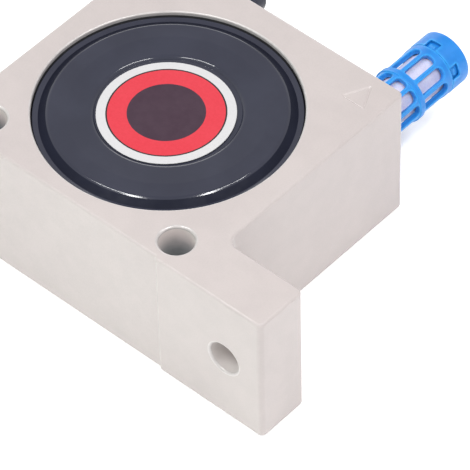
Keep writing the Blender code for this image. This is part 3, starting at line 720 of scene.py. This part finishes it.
def housing_outline():
    """Outline of the block seen from the front, anticlockwise, with the relief between the foot pads."""
    right = [
        (RELIEF_HALF - RELIEF_DEPTH, RELIEF_DEPTH, 0.5),
        (RELIEF_HALF, 0.0, 1.15),
        (BASE_HALF, 0.0, CORNER_RADIUS),
        (BASE_HALF, FOOT_THICKNESS, CORNER_RADIUS),
        (BODY_HALF, FOOT_THICKNESS, FOOT_FILLET),
        (BODY_HALF, BODY_HEIGHT, CORNER_RADIUS),
    ]
    left = [(-x, y, radius) for x, y, radius in reversed(right)]
    return rounded(right + left, steps=8)


def hole_outline(length):
    """Through hole with rounded mouths, as the outline of its cutter."""
    mouth_radius = BOLT_HOLE_RADIUS + BOLT_HOLE_MOUTH
    flare = arc((mouth_radius, length - BOLT_HOLE_MOUTH), BOLT_HOLE_MOUTH, 180, 90, 5)
    upper = [(mouth_radius, length + OVERSHOOT)] + list(reversed(flare))
    lower = [(radius, length - height) for radius, height in reversed(upper)]
    return [(0, length + OVERSHOOT)] + upper + lower + [(0, -OVERSHOOT)]


def chamber_outline():
    """Chamber, raceway seats, cover seats and rounded mouths on both faces."""
    face = THICKNESS / 2
    mouth_radius = COVER_BORE + CHAMBER_MOUTH
    half = [
        (RIB_RADIUS, RIB_HALF),
        (RACE_BORE, RIB_HALF),
        (RACE_BORE, COVER_SEAT),
        (COVER_BORE, COVER_SEAT),
        (COVER_BORE, SNAP_LOW),
        (SNAP_RADIUS, SNAP_LOW),
        (SNAP_RADIUS, SNAP_HIGH),
        (COVER_BORE, SNAP_HIGH),
        (COVER_BORE, face - CUT_EDGE_DEPTH),
    ]
    half += arc((mouth_radius, face - CHAMBER_MOUTH), CHAMBER_MOUTH, 180, 90, 6)
    half.append((mouth_radius, face + OVERSHOOT))
    rear = [(radius, -height) for radius, height in half]
    return [(0, face + OVERSHOOT)] + list(reversed(half)) + rear + [(0, -face - OVERSHOOT)]


def ridges(root, crest, top, turns):
    """Thread flanks down from top, with narrow flats on crests and roots."""
    points = []
    for turn in range(turns):
        start = top - turn * THREAD_PITCH
        middle = start - THREAD_PITCH / 2
        points += [
            (root, start), (root, start - ROOT_FLAT), (crest, middle + HALF_CREST_FLAT),
            (crest, middle - HALF_CREST_FLAT), (root, start - THREAD_PITCH + ROOT_FLAT),
        ]
    return points + [(root, top - turns * THREAD_PITCH)]


def port_outline():
    """Rounded mouth, thread, drilled bottom and air way of a port, down from the port face."""
    mouth = [(0, OVERSHOOT), (PORT_MOUTH_RADIUS, OVERSHOOT), (PORT_MOUTH_RADIUS, 0)]
    mouth += arc((PORT_MOUTH_RADIUS, -PORT_MOUTH), PORT_MOUTH, 90, 180, 4)
    thread = ridges(PORT_ROOT, PORT_CREST, PORT_THREAD_TOP, PORT_TURNS)
    return mouth + thread + [
        (PORT_ROOT, -PORT_DEPTH), (DUCT_RADIUS, -PORT_DEPTH - DRILL_POINT),
        (DUCT_RADIUS, -DUCT_DEPTH), (0, -DUCT_DEPTH - DRILL_POINT),
    ]


def arrow_cutter():
    """An outlined triangle that points to the exhaust port, with sloping sides."""
    half = ARROW_SIZE / 2
    inscribed = ARROW_SIZE * ARROW_SIZE / (ARROW_SIZE + 2 * math.hypot(half, ARROW_SIZE))
    corners = ((-half, -inscribed), (half, -inscribed), (0, ARROW_SIZE - inscribed))

    def triangle(offset, height):
        scale = 1 + offset / inscribed
        outline = [(x * scale, y * scale, max(0.05, 0.25 + offset)) for x, y in corners]
        return [(x, y, height) for x, y in rounded(outline, steps=4)]

    rings = [
        triangle(ARROW_LINE / 2 + ARROW_LIP, ARROW_LIP),
        triangle(-ARROW_LINE / 2 - ARROW_LIP, ARROW_LIP),
        triangle(-ARROW_FLOOR_HALF, -ARROW_DEPTH),
        triangle(ARROW_FLOOR_HALF, -ARROW_DEPTH),
    ]
    vertices = [point for ring in rings for point in ring]
    faces = bands(len(rings[0]), len(rings), closed=True)
    x, y = ARROW_BASE
    place = Matrix.Translation((x * MM, BASE_Y + (y + inscribed) * MM, FRONT_FACE_Z))
    return solid("cutter_arrow", vertices, faces, place)


def with_finishes(obj, depth=None, edge=0.0):
    """Gives a block or cutter the housing's finishes, by how deep the centre of each face is.

    Paint outside, cut metal with its painted highlight down to the edge's depth in millimetres, and bare
    metal below it, which carries painted light and shade.
    """
    for material in (PAINT, CUT_EDGE_AND_SHEEN, BARE):
        obj.data.materials.append(material)
    if depth is not None:
        for polygon in obj.data.polygons:
            below = depth(polygon.center)
            polygon.material_index = 2 if below > edge * MM else 1 if below > 0 else 0
    return obj


def make_housing():
    half_foot = FOOT_THICKNESS / 2 * MM

    def below_faces(point):
        return MID_Z - abs(point.z - MID_Z)

    def below_foot_faces(point):
        return half_foot - abs(point.y - BASE_Y - half_foot)

    place = Matrix.Translation((0, BASE_Y, 0))
    housing = prism("housing_block", housing_outline(), 0, THICKNESS, EDGE_ROUNDING, place, steps=6)
    with_finishes(housing)
    chamber = turned("cutter_chamber", chamber_outline(), BIG_STEPS, TO_CHAMBER)
    cutters = [with_finishes(chamber, below_faces, CUT_EDGE_DEPTH)]
    for side in (1, -1):
        place = Matrix.Translation((side * SIDE_HOLE_X * MM, BASE_Y + half_foot, 0))
        hole = turned(f"cutter_side_hole_{side}", hole_outline(THICKNESS), SMALL_STEPS, place)
        cutters.append(with_finishes(hole, below_faces, BOLT_HOLE_MOUTH))
        place = Matrix.Translation((side * FOOT_HOLE_X * MM, BASE_Y, MID_Z)) @ UPRIGHT
        hole = turned(f"cutter_foot_hole_{side}", hole_outline(FOOT_THICKNESS), SMALL_STEPS, place)
        cutters.append(with_finishes(hole, below_foot_faces, BOLT_HOLE_MOUTH))
        port = turned(f"cutter_port_{side}", port_outline(), SMALL_STEPS, to_port(side * PORT_X))
        cutters.append(with_finishes(port, lambda point: PORT_FACE_Y - point.y, PORT_EDGE_DEPTH))
    cutters.append(with_finishes(arrow_cutter()))
    cut(housing, *cutters)
    finished(housing, None, stands_for="housing")


# ---------------- covers, chamber


def cover_outline():
    """Half section of a cover, from the label recess out over the rim and back inside."""
    return rounded([
        (0, LABEL_FLOOR_Z, 0),
        (22.6, LABEL_FLOOR_Z, 0.12),
        (22.6, LABEL_FLOOR_Z + 0.1, 0.1),
        (23.45, 24.35, 1.6),
        (31.2, 24.9, 2.0),
        (36.6, 24.88, 1.2),
        (FLANK_START_RADIUS, 24.418, 0),
        (39.75, 22.8, 0.25),
        (COVER_RADIUS, 23.2, 0.3),
        (COVER_RADIUS, SEAL_GROOVE_HIGH, 0.15),
        (39.2, SEAL_GROOVE_HIGH, 0.2),
        (39.2, SEAL_GROOVE_LOW, 0.2),
        (COVER_RADIUS, SEAL_GROOVE_LOW, 0.15),
        (COVER_RADIUS, 17.9, 0.1),
        (42.2, 17.2, 0.1),
        (42.2, 16.9, 0.1),
        (41.2, 16.3, 0.2),
        (37.5, 16.3, 0.3),
        (37.5, 18.7, 0.8),
        (0, 18.7, 0),
    ])


def make_cover(side, place):
    """Snap-in cover, half glossy except for its flank, which is dark and matt as painted shade."""
    cover = turned(f"{side}_snap_cover", cover_outline(), BIG_STEPS, place)
    cover.data.materials.append(BLACK)
    cover.data.materials.append(FLANK_SHADE_BLACK)
    for polygon in cover.data.polygons:
        reach = math.hypot(polygon.center.x - CHAMBER.x, polygon.center.y - CHAMBER.y)
        on_flank = FLANK_START_RADIUS * MM < reach < FLANK_END_RADIUS * MM
        outside = abs(polygon.center.z - MID_Z) > COVER_OUTSIDE_Z * MM
        # The flank's outer faces take the dark matt finish: painted shade.
        polygon.material_index = 1 if outside and on_flank else 0
    finished(cover, None, stands_for=f"{side}_cover")


def make_cover_seal(side, place):
    middle = (O_RING_RADIUS, (SEAL_GROOVE_LOW + SEAL_GROOVE_HIGH) / 2)
    section = arc(middle, O_RING_WIRE_RADIUS, 0, 345, 23)
    seal = turned(f"{side}_o_ring", section, BIG_STEPS, place)
    finished(seal, RUBBER, stands_for=f"{side}_cover_seal")


def make_raceway(side, place):
    """Ground ring with the groove that the ball runs in."""
    low = math.degrees(math.asin(RACE_INNER_Z / GROOVE_RADIUS))
    high = math.degrees(math.asin((RACE_OUTER_Z - RACE_LIP) / GROOVE_RADIUS))
    groove = [(r, h, 0) for r, h in arc((ORBIT_RADIUS, 0), GROOVE_RADIUS, low, high, 18)]
    outline = rounded(groove + [
        (groove[-1][0] + RACE_LIP, RACE_OUTER_Z, 0.1), (RACE_RADIUS, RACE_OUTER_Z, 0.5),
        (RACE_RADIUS, RACE_INNER_Z, 0.2),
    ])
    raceway = turned(f"{side}_race_ring", outline, BIG_STEPS, place)
    finished(raceway, RACE_STEEL, stands_for=f"{side}_raceway")


def make_ball():
    place = Matrix.Translation(sum(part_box("ball"), Vector()) / 2)
    ball = turned("bearing_ball", arc((0, 0), BALL_RADIUS, 90, -90, BALL_STEPS // 2), BALL_STEPS, place)
    finished(ball, BALL_STEEL, "ball", "ball", sharp=60)


def make_label():
    low = LABEL_FLOOR_Z + LABEL_GAP
    high = low + LABEL_THICKNESS
    outline = rounded([
        (0, high, 0), (LABEL_RADIUS, high, 0.1), (LABEL_RADIUS, low, 0.05), (0, low, 0),
    ], steps=3)
    place = Matrix.Translation((LABEL_CENTRE.x, LABEL_CENTRE.y, MID_Z))
    label = turned("round_label", outline, BIG_STEPS, place)
    finished(label, LABEL, stands_for="front_label")


def make_chamber_pieces():
    for side, place in (("front", TO_CHAMBER), ("rear", TO_REAR)):
        make_cover(side, place)
        make_cover_seal(side, place)
        make_raceway(side, place)
    make_ball()
    make_label()


# ---------------- fittings


def hexagon(name, high, place):
    """Hexagonal nut with chamfered corners at both ends and a small rounding on its long edges.

    Its hole ends inside the wall of the stem that it is joined to.
    """
    low = HEX_START
    corner = HEX_FLAT / math.cos(math.radians(30))
    outline = rounded([(x, y, 0.35) for x, y in arc((0, 0), corner, 0, 300, 5)], steps=4)
    nut = prism(name, outline, low, high, 0.0, place)
    blank = turned(f"blank_{name}", [
        (HEX_HOLE, high + 1), (HEX_FLAT - 0.4, high + 1), (HEX_FLAT - 0.1, high),
        (corner + 0.2, high - HEX_CHAMFER), (corner + 0.2, low + HEX_CHAMFER), (HEX_FLAT - 0.1, low),
        (HEX_FLAT - 0.4, low - 1), (HEX_HOLE, low - 1),
    ], SMALL_STEPS, place)
    return joined(nut, "INTERSECT", blank)


def stem_outline(bore):
    """The threaded end of a stem, from its neck down and round into its bore."""
    thread = ridges(NECK_RADIUS, STEM_CREST, STEM_THREAD_TOP, STEM_TURNS)
    return [(NECK_RADIUS, NECK_END)] + thread + [
        (NECK_RADIUS, STEM_END + STEM_CHAMFER), (NECK_RADIUS - STEM_CHAMFER, STEM_END), (bore, STEM_END),
    ]


def sealing_ring(name, x, stands_for):
    """Rubber ring between the port face and the hexagon of the fitting at x."""
    outline = rounded([
        (SEAL_INNER, SEAL_HIGH, 0.1), (SEAL_OUTER, SEAL_HIGH, 0.3),
        (SEAL_OUTER, SEAL_LOW, 0.3), (SEAL_INNER, SEAL_LOW, 0.1),
    ])
    ring = turned(name, outline, SMALL_STEPS, to_port(x))
    finished(ring, RUBBER, stands_for=stands_for)


def make_inlet_stem(place):
    """Plated stem: thread, hexagon and the spigot that holds the sleeve."""
    spigot = rounded([
        (INLET_BORE, SPIGOT_END, 0.2), (INSERT_RADIUS, SPIGOT_END, 0.3),
        (INSERT_RADIUS, NECK_END, 0),
    ], steps=4)
    stem = turned("inlet_stem_turned", spigot + stem_outline(INLET_BORE), SMALL_STEPS, place)
    joined(stem, "UNION", hexagon("inlet_nut", INLET_HEX_END, place))
    finished(stem, NICKEL, stands_for="inlet_stem")


def make_inlet_sleeve(place):
    """Black body of the push-in fitting, with three grooves to grip it by."""
    grip = []
    for height in GRIP_HEIGHTS:
        grip += [
            (8.7, height + 0.35, 0.1), (8.5, height + 0.2, 0.1), (8.5, height - 0.2, 0.1),
            (8.7, height - 0.35, 0.1),
        ]
    outline = rounded([(6.6, 22.0, 0.4), (8.7, 22.0, 1.3)] + grip + [
        (8.7, 7.3, 0.4), (7.6, 7.3, 0.1), (7.6, 20.8, 0.1), (6.6, 20.8, 0.1),
    ], steps=5)
    sleeve = turned("inlet_body", outline, SMALL_STEPS, place)
    finished(sleeve, FITTING_BLACK, stands_for="inlet_sleeve")


def make_tube_seal(place):
    """Ring with a groove between two lips, the inner one for the tube."""
    outline = rounded([
        (TUBE_CLEAR, 15.0, 0.2), (INSERT_RADIUS, 15.0, 0.2), (INSERT_RADIUS, 12.4, 0.1),
        (6.7, 12.4, 0.1), (6.25, 13.6, 0.2), (5.8, 12.4, 0.1), (TUBE_CLEAR, 12.4, 0.1),
    ], steps=3)
    seal = turned("tube_lip_seal", outline, SMALL_STEPS, place)
    finished(seal, RUBBER, stands_for="tube_seal")


def make_grab_ring(place):
    """Thin toothed ring: radial slots part its inner edge into teeth."""
    outline = rounded([
        (TUBE_CLEAR, GRAB_RING_HIGH, 0.08), (INSERT_RADIUS, GRAB_RING_HIGH, 0.08),
        (INSERT_RADIUS, GRAB_RING_LOW, 0.08), (TUBE_CLEAR, GRAB_RING_LOW, 0.08),
    ], steps=2)
    ring = turned("grab_ring_teeth", outline, SMALL_STEPS, place)
    slot = rounded([(4.0, -0.35, 0), (6.5, -0.35, 0.34), (6.5, 0.35, 0.34), (4.0, 0.35, 0)], steps=6)
    low, high = GRAB_RING_LOW - 1, GRAB_RING_HIGH + 1
    slots = []
    for tooth in range(GRAB_TEETH):
        turn = Matrix.Rotation(math.tau * (tooth + 0.5) / GRAB_TEETH, 4, "Z")
        slots.append(prism(f"cutter_slot_{tooth}", slot, low, high, 0.0, place @ turn))
    cut(ring, *slots)
    finished(ring, SPRING, stands_for="grab_ring")


def make_collar_guide(place):
    """Plated bush over the grab ring, with a lip that the release collar can't pass."""
    outline = rounded([
        (6.5, 20.5, 0.1), (INSERT_RADIUS, 20.5, 0.1), (INSERT_RADIUS, 16.4, 0.1), (6.9, 16.4, 0.1),
        (6.9, 19.6, 0.1), (6.5, 19.6, 0.1),
    ], steps=3)
    guide = turned("collar_guide_bush", outline, SMALL_STEPS, place)
    finished(guide, NICKEL, stands_for="collar_guide")


def make_release_collar(place):
    """Ring that is pressed in to let the tube go: head, waist, bead and nose."""
    outline = rounded([
        (5.7, 25.0, 0.3), (6.9, 25.0, 0.45), (6.9, 23.8, 0.2), (6.15, 23.8, 0.15), (6.15, 19.3, 0.1),
        (6.6, 19.3, 0.1), (6.15, 18.3, 0.2), (5.85, 17.9, 0.1), (TUBE_CLEAR, 17.9, 0.1),
        (TUBE_CLEAR, 24.5, 0.2),
    ], steps=4)
    collar = turned("press_collar", outline, SMALL_STEPS, place)
    finished(collar, FITTING_BLACK, "release_collar", "release_collar")


def make_inlet():
    place = to_port(-PORT_X)
    make_inlet_stem(place)
    sealing_ring("inlet_seal_ring", -PORT_X, "inlet_seal")
    make_inlet_sleeve(place)
    make_tube_seal(place)
    make_grab_ring(place)
    make_collar_guide(place)
    make_release_collar(place)


# ---------------- silencer


def window_loop(low, high, corner_low, corner_high):
    """Window outline as (sideways, height), with as many points along each end as a sector has steps.

    Starts at the middle of the corner low on the -sideways side and runs anticlockwise. Returns the points
    and their outward directions.
    """
    half = WINDOW_HALF
    arcs = SECTOR_STEPS // 2 - 1

    def corner(sign_s, sign_h, radius, start, end):
        across = sign_s * (half - radius)
        up = high - radius if sign_h > 0 else low + radius
        found = []
        for step in range(arcs + 1):
            angle = math.radians(start + (end - start) * step / arcs)
            out_s, out_h = math.cos(angle), math.sin(angle)
            found.append((across + radius * out_s, up + radius * out_h, out_s, out_h))
        return found

    bottom, top = low + corner_low, high - corner_high
    rises = [bottom + (top - bottom) * step / WINDOW_SIDE_STEPS for step in range(1, WINDOW_SIDE_STEPS)]
    loop = corner(-1, -1, corner_low, 225, 270) + [(0.0, low, 0.0, -1.0)]
    loop += corner(1, -1, corner_low, 270, 315)
    loop += corner(1, -1, corner_low, 315, 360)[1:]
    loop += [(half, rise, 1.0, 0.0) for rise in rises]
    loop += corner(1, 1, corner_high, 0, 45)
    loop += corner(1, 1, corner_high, 45, 90)[1:] + [(0.0, high, 0.0, 1.0)]
    loop += corner(-1, 1, corner_high, 90, 135)
    loop += corner(-1, 1, corner_high, 135, 180)[1:]
    loop += [(-half, rise, -1.0, 0.0) for rise in reversed(rises)]
    loop += corner(-1, -1, corner_low, 180, 225)[:-1]
    return loop, WINDOW_SIDE_STEPS + 2 * arcs


def sector_border(floor, ceiling, side_steps):
    """Border of a sector as (share of its width, height), anticlockwise from its low left corner."""
    across = [step / SECTOR_STEPS for step in range(SECTOR_STEPS)]
    rises = [(ceiling - floor) * step / side_steps for step in range(side_steps)]
    border = [(-0.5 + share, floor) for share in across]
    border += [(0.5, floor + rise) for rise in rises]
    border += [(0.5 - share, ceiling) for share in across]
    border += [(-0.5, ceiling - rise) for rise in rises]
    return border


def cage_cells(low, high, corner_low, corner_high, floor, ceiling):
    """One row of windows with rounded edges, in a band from floor to ceiling."""
    loop, side_steps = window_loop(low, high, corner_low, corner_high)
    border = sector_border(floor, ceiling, side_steps)
    edge = [(WINDOW_ROUNDING * run, WINDOW_ROUNDING * rise) for run, rise in quarter(4)]
    levels = [(offset, CAGE_OUTER - depth) for offset, depth in edge]
    levels += [(offset, CAGE_INNER + depth) for offset, depth in reversed(edge)]
    parts = []
    for sector in range(CAGE_SECTORS):
        middle = WINDOW_PHASE + sector * SECTOR
        rows = [[(CAGE_OUTER, middle + share * SECTOR, height) for share, height in border]]
        for offset, radius in levels:
            row = []
            for sideways, height, out_s, out_h in loop:
                angle = middle + math.asin((sideways + out_s * offset) / radius)
                row.append((radius, angle, height + out_h * offset))
            rows.append(row)
        rows.append([(CAGE_INNER, middle + share * SECTOR, height) for share, height in border])
        vertices = [(r * math.cos(a), r * math.sin(a), h) for row in rows for r, a, h in row]
        parts.append((vertices, bands(len(loop), len(rows))))
    return parts


def cage_walls():
    """Outlines of the cage between and beyond its rows of windows: outer band, top, inner band and stem."""
    first_floor, first_ceiling = FIRST_ROW[-2:]
    second_floor, second_ceiling = SECOND_ROW[-2:]
    outer_band = rounded([
        (CAGE_OUTER, first_ceiling, 0), (CAGE_BAND, first_ceiling + 0.05, 0.18),
        (CAGE_BAND, second_floor - 0.05, 0.18), (CAGE_OUTER, second_floor, 0),
    ], steps=4)
    top = [
        (CAGE_OUTER, second_ceiling), (CAGE_OUTER, CAGE_TOP - 0.06), (CAGE_OUTER - 0.03, CAGE_TOP - 0.02),
        (CAGE_OUTER - 0.1, CAGE_TOP), (CAP_SPIGOT, CAGE_TOP),
        (CAP_SPIGOT, CAP_SPIGOT_TOP - 0.1), (CAP_SPIGOT - 0.1, CAP_SPIGOT_TOP),
        (CAGE_INNER + 0.1, CAP_SPIGOT_TOP), (CAGE_INNER, CAP_SPIGOT_TOP - 0.1),
        (CAGE_INNER, second_ceiling),
    ]
    inner_band = [(CAGE_INNER, second_floor), (CAGE_INNER, first_ceiling)]
    stem = [
        (CAGE_INNER, first_floor), (CAGE_INNER, CAGE_FLOOR), (SILENCER_BORE, CAGE_FLOOR),
        (SILENCER_BORE, STEM_END),
    ]
    stem += reversed(stem_outline(SILENCER_BORE)[1:-1])
    stem += [(NECK_RADIUS, CAGE_LOW), (CAGE_OUTER, CAGE_LOW), (CAGE_OUTER, first_floor)]
    return outer_band, top, inner_band, stem


def clip_turn(number, axis):
    """Tips an outline over about an axis and turns it to one of the cap's clips."""
    around = Matrix.Rotation(NOTCH_PHASE + math.tau * number / CAP_CLIPS, 4, "Z")
    return around @ Matrix.Rotation(math.pi / 2, 4, axis)


def make_silencer_body(place):
    """Slotted cage in one piece with its hexagon, its threaded stem and the hooks for the cap."""
    parts = cage_cells(*FIRST_ROW) + cage_cells(*SECOND_ROW)
    for wall in cage_walls():
        parts.append(lathe(wall, CAGE_STEPS, closed=False, phase=CAGE_PHASE))
    body = merged("silencer_cage", parts, place)
    joined(body, "UNION", hexagon("silencer_nut", SILENCER_HEX_END, place))
    hook = rounded([
        (7.9, 32.9, 0), (8.5, 32.9, 0.1), (8.85, 33.5, 0.15), (8.85, 34.0, 0.2), (7.9, 34.6, 0),
    ], steps=3)
    hooks = []
    for number in range(CAP_CLIPS):
        hook_place = place @ clip_turn(number, "X")
        hooks.append(prism(f"hook_{number}", hook, -HOOK_HALF, HOOK_HALF, 0.0, hook_place))
    joined(body, "UNION", *hooks)
    finished(body, BLUE, stands_for="silencer_body")


def make_silencer_cap(place):
    """End cap with a notch in its edge over each hook."""
    inner_radius, inner_top, low = CAP_RADIUS - CAP_WALL, CAP_TOP - CAP_ROOF, CAGE_TOP + CAP_GAP
    outline = rounded([
        (0, CAP_TOP, 0), (CAP_RADIUS, CAP_TOP, 1.0), (CAP_RADIUS, low, 0.06), (inner_radius, low, 0.1),
        (inner_radius, inner_top, 0.3), (0, inner_top, 0),
    ], steps=6)
    cap = turned("silencer_end_cap", outline, CAGE_STEPS, place, CAGE_PHASE)
    notch = rounded([
        (-31.3, -NOTCH_HALF, 0), (-31.3, NOTCH_HALF, 0), (-35.3, NOTCH_HALF, 0.3),
        (-35.3, -NOTCH_HALF, 0.3),
    ], steps=4)
    notches = []
    for number in range(CAP_CLIPS):
        notch_place = place @ clip_turn(number, "Y")
        notches.append(prism(f"cutter_notch_{number}", notch, NOTCH_INNER, NOTCH_OUTER, 0.0, notch_place))
    cut(cap, *notches)
    finished(cap, BLUE, stands_for="silencer_cap")


def make_silencer_element(place):
    outline = rounded([(5.3, 36.4, 0.2), (6.9, 36.4, 0.3), (6.9, 5.6, 0.3), (5.3, 5.6, 0.2)], steps=3)
    element = turned("silencer_sleeve", outline, SMALL_STEPS, place)
    finished(element, POROUS, stands_for="silencer_element")


def make_silencer():
    place = to_port(PORT_X)
    make_silencer_body(place)
    sealing_ring("silencer_seal_ring", PORT_X, "silencer_seal")
    make_silencer_cap(place)
    make_silencer_element(place)


# ---------------- studio


def make_floor():
    mesh = bpy.data.meshes.new("studio_floor")
    square = ((-1, -1), (1, -1), (1, 1), (-1, 1))
    corners = [(x * FLOOR_REACH, y * FLOOR_REACH, FLOOR_Z) for x, y in square]
    mesh.from_pydata(corners, [], [[0, 1, 2, 3]])
    f = Finish("studio_floor", roughness=0.8, Specular_IOR_Level=0.1)
    f.set("Base Color", f.shades(f.noise(3, 2), (0.955, 0.955, 0.955), (0.965, 0.965, 0.965)))
    f.set("Emission Color", WHITE)
    f.set("Emission Strength", 0.25)
    mesh.materials.append(f.material)
    floor = linked("studio_floor", mesh)


def softbox(name, azimuth, elevation, distance, size, power, tint=WHITE, mirrored=True):
    """Rectangular lamp that faces the block, at an azimuth measured as the camera's is.

    A lamp that isn't mirrored lights the block without showing in its gloss.
    """
    az, el = math.radians(azimuth), math.radians(elevation)
    away = Vector((-math.sin(az) * math.cos(el), -math.cos(az) * math.cos(el), math.sin(el)))
    lamp = bpy.data.lights.new(name, "AREA")
    lamp.shape = "RECTANGLE"
    lamp.size, lamp.size_y = size
    lamp.energy = power
    lamp.color = tint
    obj = linked(name, lamp)
    obj.visible_glossy = mirrored
    obj.location = LAMP_TARGET + away * distance
    obj.rotation_euler = away.to_track_quat("Z", "Y").to_euler()


def make_light():
    """Pale sky, dimmer towards its top, and four softboxes."""
    world = bpy.data.worlds.new("studio")
    bpy.context.scene.world = world
    world.use_nodes = True
    nodes, links = world.node_tree.nodes, world.node_tree.links
    background = nodes["Background"]
    height = nodes.new("ShaderNodeSeparateXYZ")
    links.new(nodes.new("ShaderNodeTexCoord").outputs["Generated"], height.inputs["Vector"])
    dimmer = nodes.new("ShaderNodeMapRange")
    dimmer.inputs["To Min"].default_value = SKY_LOW_STRENGTH
    dimmer.inputs["To Max"].default_value = SKY_TOP_STRENGTH
    links.new(height.outputs["Z"], dimmer.inputs["Value"])
    links.new(dimmer.outputs["Result"], background.inputs["Strength"])
    background.inputs["Color"].default_value = (*WHITE, 1.0)
    softbox("left_softbox", 17, 62, 0.9, (0.55, 0.07), 4.35)
    softbox("right_softbox", -103, 62, 0.9, (0.55, 0.07), 3.9)
    softbox("base_softbox", 30, 14, 1.2, (0.9, 0.4), 1.15, (0.42, 1.0, 0.62), mirrored=False)
    softbox("back_softbox", 137, 15, 1.2, (0.6, 0.6), 1.8)


def make_camera():
    """The photograph's viewpoint: a long lens, high over the foot's corner, rolled a little."""
    azimuth = math.radians(CAMERA_AZIMUTH)
    elevation = math.radians(CAMERA_ELEVATION)
    roll = math.radians(CAMERA_ROLL)
    level = Vector((math.cos(azimuth), -math.sin(azimuth), 0))
    forward = Vector((
        math.sin(azimuth) * math.cos(elevation),
        math.cos(azimuth) * math.cos(elevation),
        -math.sin(elevation),
    ))
    upright = level.cross(forward)
    right = level * math.cos(roll) + upright * math.sin(roll)
    up = upright * math.cos(roll) - level * math.sin(roll)
    centred = CAMERA_TARGET - forward * CAMERA_DISTANCE
    position = centred + right * CAMERA_RIGHT * MM - up * CAMERA_DOWN * MM
    lens = bpy.data.cameras.new("camera")
    lens.lens = CAMERA_LENS
    lens.sensor_width = CAMERA_SENSOR
    lens.clip_end = 20
    camera = linked("camera", lens)
    rotation = Matrix((right, up, -forward)).transposed().to_4x4()
    camera.matrix_world = Matrix.Translation(position) @ rotation
    bpy.context.scene.camera = camera


PAINT = painted_metal()
BARE = machined_metal()
CUT_EDGE_AND_SHEEN = cut_edge_and_sheen()
BLACK = black_plastic("cover_plastic", 0.11, 0.5, CHAMBER, "Z")
FLANK_SHADE_BLACK = flank_shade_plastic()
FITTING_BLACK = black_plastic("fitting_plastic", 0.15, 0.22, (-PORT_X, 0, MID_Z), "Y")
LABEL = printed_label()
BLUE = blue_plastic()
POROUS = sintered_plastic()
RUBBER = rubber()
NICKEL = metal("nickel_plate", (0.60, 0.575, 0.53), (0.70, 0.68, 0.64), 0.2, 700)
RACE_STEEL = metal("raceway_steel", (0.50, 0.50, 0.51), (0.62, 0.62, 0.64), 0.26, 1200, (0.3, 0.3, 3.0))
BALL_STEEL = metal("ball_steel", (0.66, 0.66, 0.68), (0.74, 0.74, 0.76), 0.09, 900, depth=0.002 * MM)
SPRING = metal("spring_steel", (0.52, 0.52, 0.54), (0.64, 0.64, 0.66), 0.3, 1500)

make_housing()
make_chamber_pieces()
make_inlet()
make_silencer()
make_floor()
make_light()
make_camera()
bpy.context.scene.view_settings.view_transform = "Standard"
